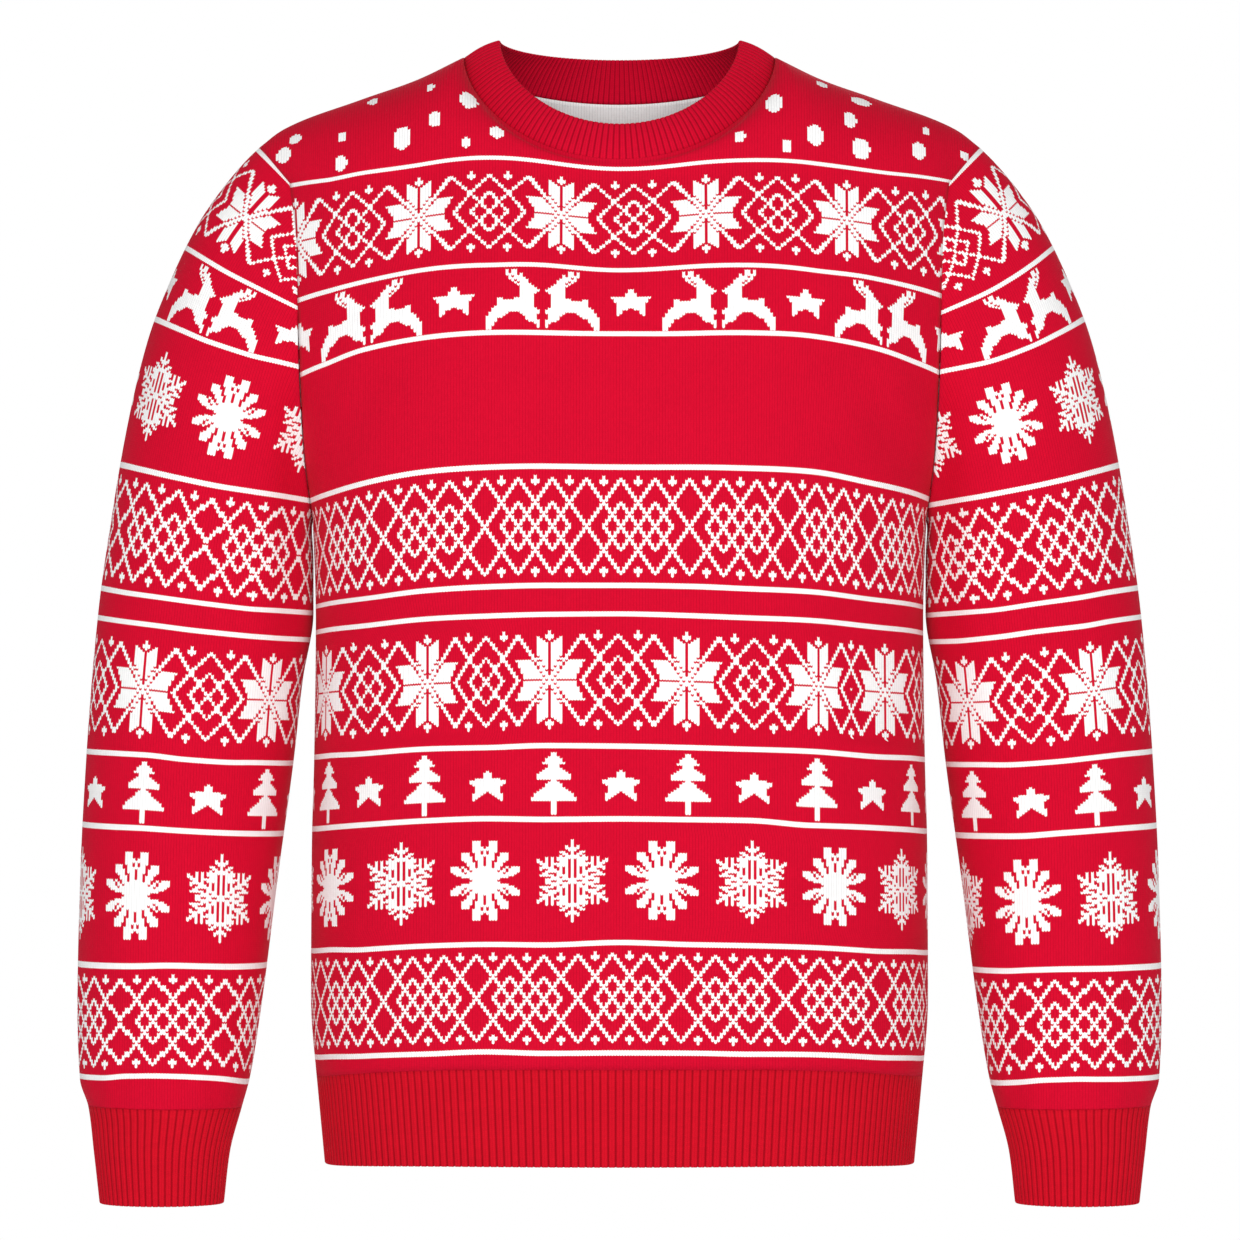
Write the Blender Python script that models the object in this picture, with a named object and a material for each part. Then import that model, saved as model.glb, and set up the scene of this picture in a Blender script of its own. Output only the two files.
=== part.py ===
"""Crew-neck Nordic jumper, filled out as if worn: a hollow knitted garment in eight sewn pieces.

Metres, +Z up. The front faces -Y, and the wearer's left is at +X. The origin is the centre of the
neck, level with the high points of the shoulders, where the wearer carries the garment.

Every piece is a wall of cloth. Its outer face is a grid of points worked out from the tables of
sizes below, and its inner face is the same grid moved in by the cloth's thickness. Two pieces that
are sewn together share their seam's points, and stand a seam gap apart.
"""
import math
from collections import namedtuple

import bmesh
import bpy
import numpy as np

# ------------------------------------------------------------------ cloth
WALL = 0.0022                 # knitted cloth, outer face to inner face
SEAM_GAP = 0.0003             # between two pieces along their seam
ARM_CLEARANCE = 0.0010        # between a hanging sleeve and the side of the body
CLOTH_COLOUR = (0.58, 0.010, 0.028, 1.0)
RIB_COLOUR = (0.52, 0.008, 0.024, 1.0)
CLOTH_ROUGHNESS = 0.85

# ------------------------------------------------------------------ body
# Half the width and the depth to the front and back of the middle, at heights up the body.
Level = namedtuple("Level", "height half_width front_depth back_depth")
BODY = [
    Level(-0.684, 0.1830, 0.1150, 0.1060),      # hem edge
    Level(-0.632, 0.1880, 0.1180, 0.1090),      # hem seam
    Level(-0.585, 0.1915, 0.1210, 0.1110),
    Level(-0.490, 0.1910, 0.1230, 0.1120),
    Level(-0.433, 0.1895, 0.1240, 0.1130),      # waist
    Level(-0.350, 0.1885, 0.1250, 0.1170),
    Level(-0.287, 0.1905, 0.1260, 0.1210),      # underarm
    Level(-0.245, 0.1942, 0.1260, 0.1235),
    Level(-0.155, 0.1977, 0.1190, 0.1230),      # chest
    Level(-0.115, 0.1990, 0.1080, 0.1190),
    Level(-0.0795, 0.2035, 0.0930, 0.1090),     # top of the patterned chest
]
SECTION_POWER = 2.3           # 2 is an oval section, and more is squarer

# How far a row of stitches hangs lower at the sides, and lifts beside the neck, than in front.
Hang = namedtuple("Hang", "height side_drop neck_lift")
HANG = [
    Hang(-0.684, 0.0040, 0.0000),
    Hang(-0.622, 0.0092, 0.0000),
    Hang(-0.545, 0.0090, 0.0000),
    Hang(-0.426, 0.0078, 0.0000),
    Hang(-0.347, 0.0092, 0.0000),
    Hang(-0.256, 0.0166, 0.0008),
    Hang(-0.176, 0.0210, 0.0017),
    Hang(-0.137, 0.0148, 0.0038),
    Hang(-0.074, 0.0055, 0.0078),
]
DROP_POWER = 4.0              # the rows stay level in the middle and drop near the sides
LIFT_WIDTH = 0.170            # the lift beside the neck fades out this far from the middle

HEM_EDGE = -0.6806            # heights of rows of stitches, at the middle of the front
HEM_SEAM = -0.6220
YOKE_ROW = -0.0740

# ------------------------------------------------------------------ shoulders, armholes and neck
Ridge = namedtuple("Ridge", "across height")
SHOULDER = [
    Ridge(0.0966, 0.0000),    # neck point
    Ridge(0.1250, -0.0137),
    Ridge(0.1605, -0.0261),
    Ridge(0.2092, -0.0447),
    Ridge(0.2235, -0.0555),   # shoulder tip
]
UNDERARM = -0.287
ARMHOLE_FRONT = 0.056         # half-depths of the armhole
ARMHOLE_BACK = 0.053

# An edge round the neck: half width, then depth and height at its front and back, and at its sides.
NeckEdge = namedtuple("NeckEdge", "half_width front_depth front_height side_height back_depth "
                                  "back_height")
NECK_SEAM = NeckEdge(0.0966, 0.0900, -0.0678, 0.0000, 0.0780, -0.0234)
NECK_EDGE = NeckEdge(0.0755, 0.0800, -0.0459, 0.0112, 0.0745, 0.0031)
NECK_POWER = 1.15             # how sharply the edges round the neck rise to the sides
BAND_BULGE = 0.0015           # how far the middle of the neckband stands out
CHEST_LEAN = 0.40             # slope of the cloth below the front of the neck, back over up
YOKE_START = 0.010            # the yoke leaves its row in line with the cloth this far below it
YOKE_REACH = 0.42             # how long the yoke's curve keeps its direction at each end

# ------------------------------------------------------------------ sleeves
# The outer and inner outline of a hanging sleeve, seen from the front.
Outline = namedtuple("Outline", "height across")
SLEEVE_OUTER = [
    Outline(-0.0555, 0.2235), Outline(-0.0633, 0.2315), Outline(-0.0819, 0.2471),
    Outline(-0.1006, 0.2600), Outline(-0.1378, 0.2785), Outline(-0.1751, 0.2927),
    Outline(-0.2310, 0.3060), Outline(-0.2869, 0.3155), Outline(-0.3428, 0.3234),
    Outline(-0.4360, 0.3309), Outline(-0.5105, 0.3343), Outline(-0.5850, 0.3356),
    Outline(-0.6330, 0.3338), Outline(-0.6500, 0.3285), Outline(-0.6782, 0.3250),
    Outline(-0.7086, 0.3215),
]
SLEEVE_INNER = [
    Outline(-0.2870, 0.1915), Outline(-0.3140, 0.1900), Outline(-0.3440, 0.1900),
    Outline(-0.3860, 0.1966), Outline(-0.4360, 0.2022), Outline(-0.5105, 0.2121),
    Outline(-0.5850, 0.2214), Outline(-0.6330, 0.2290), Outline(-0.6500, 0.2336),
    Outline(-0.6782, 0.2410), Outline(-0.7086, 0.2445),
]
# Rings down the sleeve: their height at the outer and inner outline, their half-depth, and how far
# the arm hangs forward there.
Ring = namedtuple("Ring", "outer_height inner_height half_depth forward")
SLEEVE = [
    Ring(-0.0555, -0.2870, 0.0545, 0.0015),     # armhole
    Ring(-0.0788, -0.2885, 0.0575, 0.0020),
    Ring(-0.1100, -0.2915, 0.0595, 0.0020),
    Ring(-0.1530, -0.2970, 0.0605, 0.0020),
    Ring(-0.2050, -0.3060, 0.0605, 0.0020),
    Ring(-0.2620, -0.3195, 0.0600, 0.0020),
    Ring(-0.3240, -0.3440, 0.0595, 0.0020),     # rows lie along the rings from here down
    Ring(-0.3800, -0.3860, 0.0585, 0.0030),
    Ring(-0.4320, -0.4370, 0.0575, 0.0050),     # elbow
    Ring(-0.4780, -0.4823, 0.0560, 0.0080),
    Ring(-0.5220, -0.5230, 0.0545, 0.0110),
    Ring(-0.5640, -0.5640, 0.0530, 0.0140),
    Ring(-0.6050, -0.6060, 0.0510, 0.0170),
    Ring(-0.6350, -0.6365, 0.0490, 0.0190),
    Ring(-0.6490, -0.6500, 0.0445, 0.0200),     # cuff seam
]
CUFF = [
    Ring(-0.6490, -0.6500, 0.0445, 0.0200),
    Ring(-0.6782, -0.6790, 0.0400, 0.0215),
    Ring(-0.7086, -0.7086, 0.0365, 0.0230),
]
ARMHOLE_FADE = 3.0            # rings over which the sleeve loses the armhole's curve
# Sleeve and panel meet flush where their outward directions agree, by the cosine between them, and
# the sleeve folds back from the seam where they don't.
FOLDED, FLUSH = 0.2, 0.7

# ------------------------------------------------------------------ ribs and grids
RIB_HEIGHT = 0.0009
HEM_RIBS = 5                  # ribs to each stretch between two columns of points
CUFF_RIBS = 3
NECK_RIBS = 8
NECK_COLUMNS = 6              # columns from the middle of a panel to the neck point
SHOULDER_COLUMNS = 6          # columns from the neck point to the armhole
BODY_ROWS = 12                # rows from the hem seam to the underarm
ARMHOLE_ROWS = 8              # rows from the underarm to the yoke
YOKE_ROWS = 5                 # rows from the yoke to the neck and shoulder
SLEEVE_RINGS = 18
FINE = 400                    # points used to measure a curve's length
FRONT = -1                    # which way a panel faces along Y
BACK = 1


# ------------------------------------------------------------------ curves
def column(table, name):
    """One named column of a table of sizes."""
    return np.array([getattr(row, name) for row in table])


def through(knots, values, at):
    """A smooth curve through a table's values that never swings past them."""
    knots, values, at = (np.asarray(item, dtype=float) for item in (knots, values, at))
    order = np.argsort(knots)
    knots, values = knots[order], values[order]
    step = np.diff(knots)
    slope = np.diff(values) / step
    lean = np.concatenate([slope[:1], np.zeros(len(slope) - 1), slope[-1:]])
    for index in range(1, len(slope)):
        before, after = slope[index - 1], slope[index]
        if before * after > 0.0:
            weight_before = 2.0 * step[index] + step[index - 1]
            weight_after = step[index] + 2.0 * step[index - 1]
            lean[index] = (weight_before + weight_after) / (weight_before / before
                                                            + weight_after / after)
    place = np.clip(np.searchsorted(knots, at) - 1, 0, len(step) - 1)
    run = step[place]
    part = np.clip((at - knots[place]) / run, 0.0, 1.0)
    start = (1.0 + 2.0 * part) * (1.0 - part) ** 2
    end = part ** 2 * (3.0 - 2.0 * part)
    start_lean = part * (1.0 - part) ** 2 * run
    end_lean = part ** 2 * (part - 1.0) * run
    return (start * values[place] + end * values[place + 1]
            + start_lean * lean[place] + end_lean * lean[place + 1])


def spaced(points, count):
    """The same curve through count + 1 points at equal distances along it."""
    steps = np.linalg.norm(np.diff(points, axis=0), axis=1)
    along = np.concatenate([[0.0], np.cumsum(steps)])
    stops = np.linspace(0.0, along[-1], count + 1)
    return np.column_stack([np.interp(stops, along, axis) for axis in points.T])


def unit(vectors):
    return vectors / np.linalg.norm(vectors, axis=-1, keepdims=True)


def eased(amount):
    """0 to 1 with a level start and end."""
    amount = np.clip(amount, 0.0, 1.0)
    return amount * amount * (3.0 - 2.0 * amount)


def across_seam(ring, normal, toward):
    """Directions in the cloth, square to a seam that closes on itself, on the side given."""
    seam = np.roll(ring, -1, axis=0) - np.roll(ring, 1, axis=0)
    direction = unit(np.cross(normal, seam))
    side = np.sign(np.sum(direction * toward, axis=1))[:, None]
    return direction * side


# ------------------------------------------------------------------ body panels
def body_size(name, height):
    return through(column(BODY, "height"), column(BODY, name), height)


def hang(name, height):
    return through(column(HANG, "height"), column(HANG, name), height)


def side_height(row):
    """Height of a row of stitches at the side of the body."""
    return row - hang("side_drop", row)


def row_at_side(height):
    """The row of stitches that is at a height at the side."""
    rows = np.linspace(HEM_EDGE, YOKE_ROW, FINE)
    return np.interp(height, side_height(rows), rows)


def armhole_angle(height):
    """Angle round the armhole from the underarm, for a height."""
    top = SHOULDER[-1].height
    middle, half = (top + UNDERARM) / 2.0, (top - UNDERARM) / 2.0
    return np.arccos(np.clip((middle - height) / half, -1.0, 1.0))


def armhole_point(angle, facing):
    """A point of the +X armhole's edge: 0 is the underarm and pi is the shoulder tip."""
    tip = SHOULDER[-1]
    middle, half = (tip.height + UNDERARM) / 2.0, (tip.height - UNDERARM) / 2.0
    height = middle - half * math.cos(angle)
    if height > BODY[-1].height:
        across = np.interp(height, [BODY[-1].height, tip.height],
                           [BODY[-1].half_width, tip.across])
    else:
        across = body_size("half_width", height)
    depth = ARMHOLE_FRONT if facing == FRONT else ARMHOLE_BACK
    return np.array([across, facing * depth * math.sin(angle), height])


def panel_row(row, facing, columns):
    """Points of a row of stitches from the middle of a panel to its +X edge."""
    side = float(side_height(row))
    half_width = float(body_size("half_width", side))
    depth = float(body_size("front_depth" if facing == FRONT else "back_depth", row))
    edge_depth = 0.0
    if side > UNDERARM:
        edge_depth = abs(armhole_point(float(armhole_angle(side)), facing)[1])
    full_width = half_width / (1.0 - (edge_depth / depth) ** SECTION_POWER) ** (1.0 / SECTION_POWER)
    turn = np.linspace(0.0, math.asin((half_width / full_width) ** (SECTION_POWER / 2.0)), FINE)
    across = full_width * np.sin(turn) ** (2.0 / SECTION_POWER)
    out = depth * np.clip(np.cos(turn), 0.0, 1.0) ** (2.0 / SECTION_POWER)
    lift = float(hang("neck_lift", row)) if facing == FRONT else 0.0
    height = (row - (row - side) * (across / half_width) ** DROP_POWER
              + lift * np.sin(math.pi * np.clip(across / LIFT_WIDTH, 0.0, 1.0)) ** 2)
    return spaced(np.column_stack([across, facing * out, height]), columns)


def neck_curve(edge, angle):
    """Points round an edge of the neck: 0 is the front, pi / 2 the +X side and pi the back."""
    angle = np.asarray(angle, dtype=float)
    ahead = np.cos(angle)
    depth = np.where(ahead > 0.0, -edge.front_depth, edge.back_depth) * np.abs(ahead)
    end = np.where(ahead > 0.0, edge.front_height, edge.back_height)
    height = edge.side_height + (end - edge.side_height) * np.abs(ahead) ** NECK_POWER
    return np.column_stack([edge.half_width * np.sin(angle), depth, height])


def neck_angles(facing):
    """Angles of the columns from the middle of a panel to the neck point."""
    start = 0.0 if facing == FRONT else math.pi
    fine = np.linspace(start, math.pi / 2.0, FINE)
    points = neck_curve(NECK_SEAM, fine)
    steps = np.linalg.norm(np.diff(points, axis=0), axis=1)
    along = np.concatenate([[0.0], np.cumsum(steps)])
    return np.interp(np.linspace(0.0, along[-1], NECK_COLUMNS + 1), along, fine)


def panel_top(facing):
    """Points of a panel's top edge: half the neckline, then the shoulder to its tip."""
    neck = neck_curve(NECK_SEAM, neck_angles(facing))
    across = np.linspace(SHOULDER[0].across, SHOULDER[-1].across, FINE)
    height = through(column(SHOULDER, "across"), column(SHOULDER, "height"), across)
    shoulder = spaced(np.column_stack([across, np.zeros(FINE), height]), SHOULDER_COLUMNS)
    return np.vstack([neck, shoulder[1:]])


def neckline_normals(facing):
    """Outward directions of the cloth along a panel's neckline, from the -X neck point to +X."""
    angles = neck_angles(facing)
    points = neck_curve(NECK_SEAM, angles)
    seam = np.gradient(points, axis=0)
    seam[0] = (1.0, 0.0, 0.0)
    seam[-1] = (0.0, 1.0, 0.0)
    slope = SHOULDER[1].height / (SHOULDER[1].across - SHOULDER[0].across)
    down_shoulder = unit(np.array([1.0, 0.0, slope]))
    down_panel = unit(np.array([0.0, facing * CHEST_LEAN, -1.0]))
    share = np.sin(angles)[:, None] ** 2
    away = unit(share * down_shoulder + (1.0 - share) * down_panel)
    half = unit(np.cross(away, seam))
    half *= np.sign(half[:, 2:])
    return np.vstack([half[:0:-1] * np.array([-1.0, 1.0, 1.0]), half])


def yoke_rows(lower, yoke, facing):
    """Rows that carry a panel from its yoke row over the shoulder to its top edge."""
    top = panel_top(facing)
    angles = neck_angles(facing)
    over = np.concatenate([np.sin(angles) ** 2, np.ones(SHOULDER_COLUMNS)])[:, None]
    rising = unit(np.array([0.0, -facing * CHEST_LEAN, 1.0]))
    crossing = np.array([0.0, -float(facing), 0.0])
    arriving = unit((1.0 - over) * rising + over * crossing)
    leaving = unit(yoke - lower)
    reach = YOKE_REACH * np.linalg.norm(top - yoke, axis=1)[:, None]
    start, end = yoke + reach * leaving, top - reach * arriving
    first = float(armhole_angle(yoke[-1][2]))
    held = eased((np.arange(len(top)) - len(top) / 2.0) / (len(top) / 2.0 - 1.0))[:, None]
    rows = []
    for step in range(1, YOKE_ROWS + 1):
        part = step / YOKE_ROWS
        row = ((1.0 - part) ** 3 * yoke + 3.0 * part * (1.0 - part) ** 2 * start
               + 3.0 * part ** 2 * (1.0 - part) * end + part ** 3 * top)
        edge = armhole_point(first + part * (math.pi - first), facing)
        rows.append(row + held * (edge - row[-1]))
    rows[-1] = top
    return rows


def panel_grid(facing):
    """Outer points and outward directions of a whole panel, rows from the hem up."""
    columns = NECK_COLUMNS + SHOULDER_COLUMNS
    first_row = float(row_at_side(UNDERARM))
    rows = list(np.linspace(HEM_SEAM, first_row, BODY_ROWS + 1))
    last_angle = float(armhole_angle(side_height(YOKE_ROW)))
    tip = SHOULDER[-1]
    middle, half = (tip.height + UNDERARM) / 2.0, (tip.height - UNDERARM) / 2.0
    for step in range(1, ARMHOLE_ROWS):
        angle = last_angle * step / ARMHOLE_ROWS
        rows.append(float(row_at_side(middle - half * math.cos(angle))))
    rows.append(YOKE_ROW)
    grid = [panel_row(row, facing, columns) for row in rows]
    below_yoke = panel_row(YOKE_ROW - YOKE_START, facing, columns)
    grid += yoke_rows(below_yoke, grid[-1], facing)
    half_grid = np.array(grid)
    mirrored = half_grid[:, :0:-1] * np.array([-1.0, 1.0, 1.0])
    outer = np.concatenate([mirrored, half_grid], axis=1)
    normal = outward(outer, closed=False) * facing
    below = BODY_ROWS + 1
    normal[:below, [0, -1], 1] = 0.0
    ends = slice(SHOULDER_COLUMNS, SHOULDER_COLUMNS + 2 * NECK_COLUMNS + 1)
    normal[-1, ends] = neckline_normals(facing)
    shoulder = np.r_[0:SHOULDER_COLUMNS + 1, -SHOULDER_COLUMNS - 1:0]
    normal[-1, shoulder, 1] = 0.0
    normal = unit(normal)
    outer[:, :, 1] += facing * SEAM_GAP / 2.0
    return outer, normal


def outward(grid, closed):
    """Unit directions square to a grid of points, from the points on each side of each one."""
    if closed:
        across = np.roll(grid, -1, axis=1) - np.roll(grid, 1, axis=1)
    else:
        across = np.gradient(grid, axis=1)
    along = np.gradient(grid, axis=0)
    return unit(np.cross(across, -along))


# ------------------------------------------------------------------ sleeves and bands
def sleeve_ring(ring, angles):
    """Points round a sleeve on the +X side: angle 0 is its inner line and pi its outer line."""
    inner = np.array([float(through(column(SLEEVE_INNER, "height"), column(SLEEVE_INNER, "across"),
                                    ring.inner_height)), 0.0, ring.inner_height])
    outer = np.array([float(through(column(SLEEVE_OUTER, "height"), column(SLEEVE_OUTER, "across"),
                                    ring.outer_height)), 0.0, ring.outer_height])
    middle, reach = (inner + outer) / 2.0, (inner - outer) / 2.0
    points = middle + np.cos(angles)[:, None] * reach
    points[:, 1] -= ring.half_depth * np.sin(angles) + ring.forward
    return points


def ring_between(table, place):
    """A ring part of the way along a table of rings."""
    index = np.arange(len(table))
    return Ring(*(float(through(index, column(table, name), place)) for name in Ring._fields))


def armhole_loop(front, back):
    """Points and directions round the +X armhole: up the front, then down the back."""
    start = BODY_ROWS
    loops = []
    for front_grid, back_grid in zip(front, back):
        up, down = front_grid[start:, -1], back_grid[start:, -1][::-1]
        loop = np.vstack([up, down[1:-1]])
        loop[0] = (up[0] + down[-1]) / 2.0
        loop[len(up) - 1] = (up[-1] + down[0]) / 2.0
        loops.append(loop)
    return loops[0], unit(loops[1])


def sleeve_grid(front, back):
    """Outer and inner points of the +X sleeve, rings from the armhole down."""
    loop, loop_normal = armhole_loop(front, back)
    rise = ARMHOLE_ROWS + YOKE_ROWS
    last_angle = float(armhole_angle(side_height(YOKE_ROW)))
    up = np.concatenate([np.linspace(0.0, last_angle, ARMHOLE_ROWS + 1)[:-1],
                         np.linspace(last_angle, math.pi, YOKE_ROWS + 1)])
    cut = np.concatenate([up, 2.0 * math.pi - up[-2:0:-1]])
    even = np.concatenate([np.linspace(0.0, math.pi, rise + 1),
                           np.linspace(math.pi, 2.0 * math.pi, rise + 1)[1:-1]])
    armhole = loop - sleeve_ring(SLEEVE[0], cut)
    rings = []
    for step in range(SLEEVE_RINGS + 1):
        place = (len(SLEEVE) - 1) * step / SLEEVE_RINGS
        settled = float(eased(place / ARMHOLE_FADE))
        angles = (1.0 - settled) * cut + settled * even
        rings.append(sleeve_ring(ring_between(SLEEVE, place), angles) + (1.0 - settled) * armhole)
    outer = np.array(rings)
    normal = outward(outer, closed=True)
    alike = eased((np.sum(normal[0] * loop_normal, axis=1) - FOLDED) / (FLUSH - FOLDED))[:, None]
    normal[0] = unit(alike * loop_normal + (1.0 - alike) * normal[0])
    leaving = across_seam(loop, normal[0], outer[1] - outer[0])
    gap = SEAM_GAP + (ARM_CLEARANCE - SEAM_GAP) * (1.0 - alike)
    outer[0] += gap * unit(alike * leaving + (1.0 - alike) * np.array([1.0, 0.0, 0.0]))
    return outer, normal


def cuff_rings(last_ring, last_normal):
    """Coarse rings of the +X cuff, from the sleeve's last ring down."""
    count = len(last_ring)
    angles = np.linspace(0.0, 2.0 * math.pi, count + 1)[:-1]
    rings = [sleeve_ring(ring, angles) for ring in CUFF]
    rings[0] = last_ring + SEAM_GAP * across_seam(last_ring, last_normal, rings[1] - last_ring)
    outer = np.array(rings)
    normal = outward(outer, closed=True)
    normal[0] = last_normal
    return outer, normal


def hem_rings(front, back):
    """Coarse rings of the hem, from the panels' lower edges down to the hem's edge."""
    tops = []
    for front_grid, back_grid in zip(front, back):
        ring = np.vstack([front_grid[0], back_grid[0][::-1][1:-1]])
        side = front_grid.shape[1] - 1
        ring[0] = (front_grid[0][0] + back_grid[0][0]) / 2.0
        ring[side] = (front_grid[0][-1] + back_grid[0][-1]) / 2.0
        tops.append(ring)
    columns = NECK_COLUMNS + SHOULDER_COLUMNS
    halves = []
    for facing in (FRONT, BACK):
        half = panel_row(HEM_EDGE, facing, columns)
        halves.append(np.vstack([half[:0:-1] * np.array([-1.0, 1.0, 1.0]), half]))
    edge = np.vstack([halves[0], halves[1][::-1][1:-1]])
    top = tops[0] + SEAM_GAP * across_seam(tops[0], unit(tops[1]), edge - tops[0])
    outer = np.array([top, edge])
    normal = outward(outer, closed=True)
    normal[0] = unit(tops[1])
    return outer, normal


def neckband_rings(front, back):
    """Coarse rings of the neckband, from the neckline up to its folded edge."""
    ends = slice(SHOULDER_COLUMNS, SHOULDER_COLUMNS + 2 * NECK_COLUMNS + 1)
    seams = []
    for front_grid, back_grid in zip(front, back):
        ahead, behind = front_grid[-1][ends], back_grid[-1][ends]
        ring = np.vstack([ahead, behind[::-1][1:-1]])
        ring[0] = (ahead[0] + behind[0]) / 2.0
        ring[len(ahead) - 1] = (ahead[-1] + behind[-1]) / 2.0
        seams.append(ring)
    ahead, behind = neck_angles(FRONT), neck_angles(BACK)
    angles = np.concatenate([-ahead[::-1], ahead[1:], behind[::-1][1:], -behind[1:-1]])
    edge = neck_curve(NECK_EDGE, angles)
    middle = (seams[0] + edge) / 2.0
    top = seams[0] + SEAM_GAP * across_seam(seams[0], unit(seams[1]), edge - seams[0])
    outer = np.array([top, middle, edge])
    normal = -outward(outer, closed=True)
    normal[0] = unit(seams[1])
    outer[1] += BAND_BULGE * normal[1]
    return outer, normal


# ------------------------------------------------------------------ meshes
def new_object(name, points, faces, colour, collection):
    """A closed mesh with its faces pointing out, in its own material."""
    mesh = bpy.data.meshes.new(name)
    mesh.from_pydata([tuple(point) for point in points], [], faces)
    shape = bmesh.new()
    shape.from_mesh(mesh)
    bmesh.ops.recalc_face_normals(shape, faces=shape.faces)
    shape.to_mesh(mesh)
    shape.free()
    mesh.shade_smooth()
    material = bpy.data.materials.new(name)
    material.use_nodes = True
    surface = material.node_tree.nodes["Principled BSDF"]
    surface.inputs["Base Color"].default_value = colour
    surface.inputs["Roughness"].default_value = CLOTH_ROUGHNESS
    surface.inputs["Metallic"].default_value = 0.0
    mesh.materials.append(material)
    piece = bpy.data.objects.new(name, mesh)
    collection.objects.link(piece)
    return piece


def sheet_faces(rows, columns, closed, start=0):
    """Quads of a grid of points numbered row by row from start."""
    faces = []
    for row in range(rows - 1):
        for place in range(columns if closed else columns - 1):
            beside = (place + 1) % columns
            low, high = start + row * columns, start + (row + 1) * columns
            faces.append((low + place, low + beside, high + beside, high + place))
    return faces


def rim_faces(one, two, total, points):
    """Two triangles across a rim, split from its lower outer point, so that sewn rims match."""
    low, high = (one, two) if points[one][2] <= points[two][2] else (two, one)
    return [(low, high, total + high), (low, total + high, total + low)]


def cloth_wall(name, outer, normal, closed, collection):
    """A plain wall of cloth behind a grid of outer points."""
    rows, columns = outer.shape[:2]
    inner = outer - WALL * normal
    total = rows * columns
    points = np.vstack([outer.reshape(-1, 3), inner.reshape(-1, 3)])
    faces = sheet_faces(rows, columns, closed) + sheet_faces(rows, columns, closed, total)
    rim = [(row, place) for row in (0, rows - 1) for place in range(columns)]
    runs = [[place for place in rim if place[0] == row] for row in (0, rows - 1)]
    if closed:
        runs = [run + run[:1] for run in runs]
    else:
        runs += [[(row, place) for row in range(rows)] for place in (0, columns - 1)]
    for run in runs:
        for (row, place), (next_row, next_place) in zip(run, run[1:]):
            one, two = row * columns + place, next_row * columns + next_place
            faces += rim_faces(one, two, total, points)
    return new_object(name, points, faces, CLOTH_COLOUR, collection)


def ribbed_wall(name, outer, normal, ribs, collection):
    """A closed band with raised ribs outside and a plain inside."""
    rows, coarse = outer.shape[:2]
    between = 2 * ribs
    part = (np.arange(between) / between)[None, None, :, None]
    spread = []
    for grid in (outer, normal):
        after = np.roll(grid, -1, axis=1)
        spread.append(((1.0 - part) * grid[:, :, None] + part * after[:, :, None])
                      .reshape(rows, coarse * between, 3))
    raised = np.tile([0.0, RIB_HEIGHT], coarse * ribs)[None, :, None]
    ribbed = spread[0] + raised * unit(spread[1])
    plain = outer - WALL * normal
    fine = coarse * between
    total = rows * fine
    faces = sheet_faces(rows, fine, True) + sheet_faces(rows, coarse, True, total)
    for row in (0, rows - 1):
        for place in range(coarse):
            one = total + row * coarse + place
            two = total + row * coarse + (place + 1) % coarse
            first = place * between
            for step in range(between):
                left = row * fine + first + step
                right = row * fine + (first + step + 1) % fine
                faces.append((left, right, one if step < ribs else two))
            faces.append((row * fine + first + ribs, two, one))
    points = np.vstack([ribbed.reshape(-1, 3), plain.reshape(-1, 3)])
    return new_object(name, points, faces, RIB_COLOUR, collection)


def mirrored(grid):
    """The same piece on the -X side."""
    return grid * np.array([-1.0, 1.0, 1.0])


def main():
    for old in list(bpy.data.objects):
        bpy.data.objects.remove(old, do_unlink=True)
    garment = bpy.data.collections.new("christmas_sweater")
    bpy.context.scene.collection.children.link(garment)

    front = panel_grid(FRONT)
    back = panel_grid(BACK)
    sleeve = sleeve_grid(front, back)
    cuff = cuff_rings(sleeve[0][-1], sleeve[1][-1])
    hem = hem_rings(front, back)
    neckband = neckband_rings(front, back)

    cloth_wall("front", *front, False, garment)
    cloth_wall("back", *back, False, garment)
    cloth_wall("sleeve_left", *sleeve, True, garment)
    cloth_wall("sleeve_right", mirrored(sleeve[0]), mirrored(sleeve[1]), True, garment)
    ribbed_wall("neckband", *neckband, NECK_RIBS, garment)
    ribbed_wall("hem_rib", *hem, HEM_RIBS, garment)
    ribbed_wall("cuff_left", *cuff, CUFF_RIBS, garment)
    ribbed_wall("cuff_right", mirrored(cuff[0]), mirrored(cuff[1]), CUFF_RIBS, garment)


main()
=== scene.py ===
"""Crew-neck Nordic jumper, filled out as if worn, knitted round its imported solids.

The outer face of every piece is a fine grid worked out from the garment's tables of sizes. Each
point of a patterned piece also knows how many stitches across and how many rows up it lies, and
the yarn's colour is looked up there in charts that are drawn on squared paper below.
Metres, +Z up. The front faces -Y, and the wearer's left is at +X.
"""
import math
from collections import namedtuple

import bmesh
import bpy
import numpy as np
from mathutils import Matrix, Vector


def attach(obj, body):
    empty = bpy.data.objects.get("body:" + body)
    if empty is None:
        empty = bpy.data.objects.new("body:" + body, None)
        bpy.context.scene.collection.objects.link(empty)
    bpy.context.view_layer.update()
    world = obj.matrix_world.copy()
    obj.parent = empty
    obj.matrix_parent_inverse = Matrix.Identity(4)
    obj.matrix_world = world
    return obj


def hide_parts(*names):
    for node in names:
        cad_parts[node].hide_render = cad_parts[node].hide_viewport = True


bl_info = {
    "name": "Nordic jumper",
    "version": (1, 0, 0),
    "blender": (4, 5, 0),
    "location": "View3D > Sidebar > Jumper",
    "description": "Knits a filled-out jacquard jumper with ribbed neck, cuffs and hem",
    "category": "Add Mesh",
}

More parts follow.
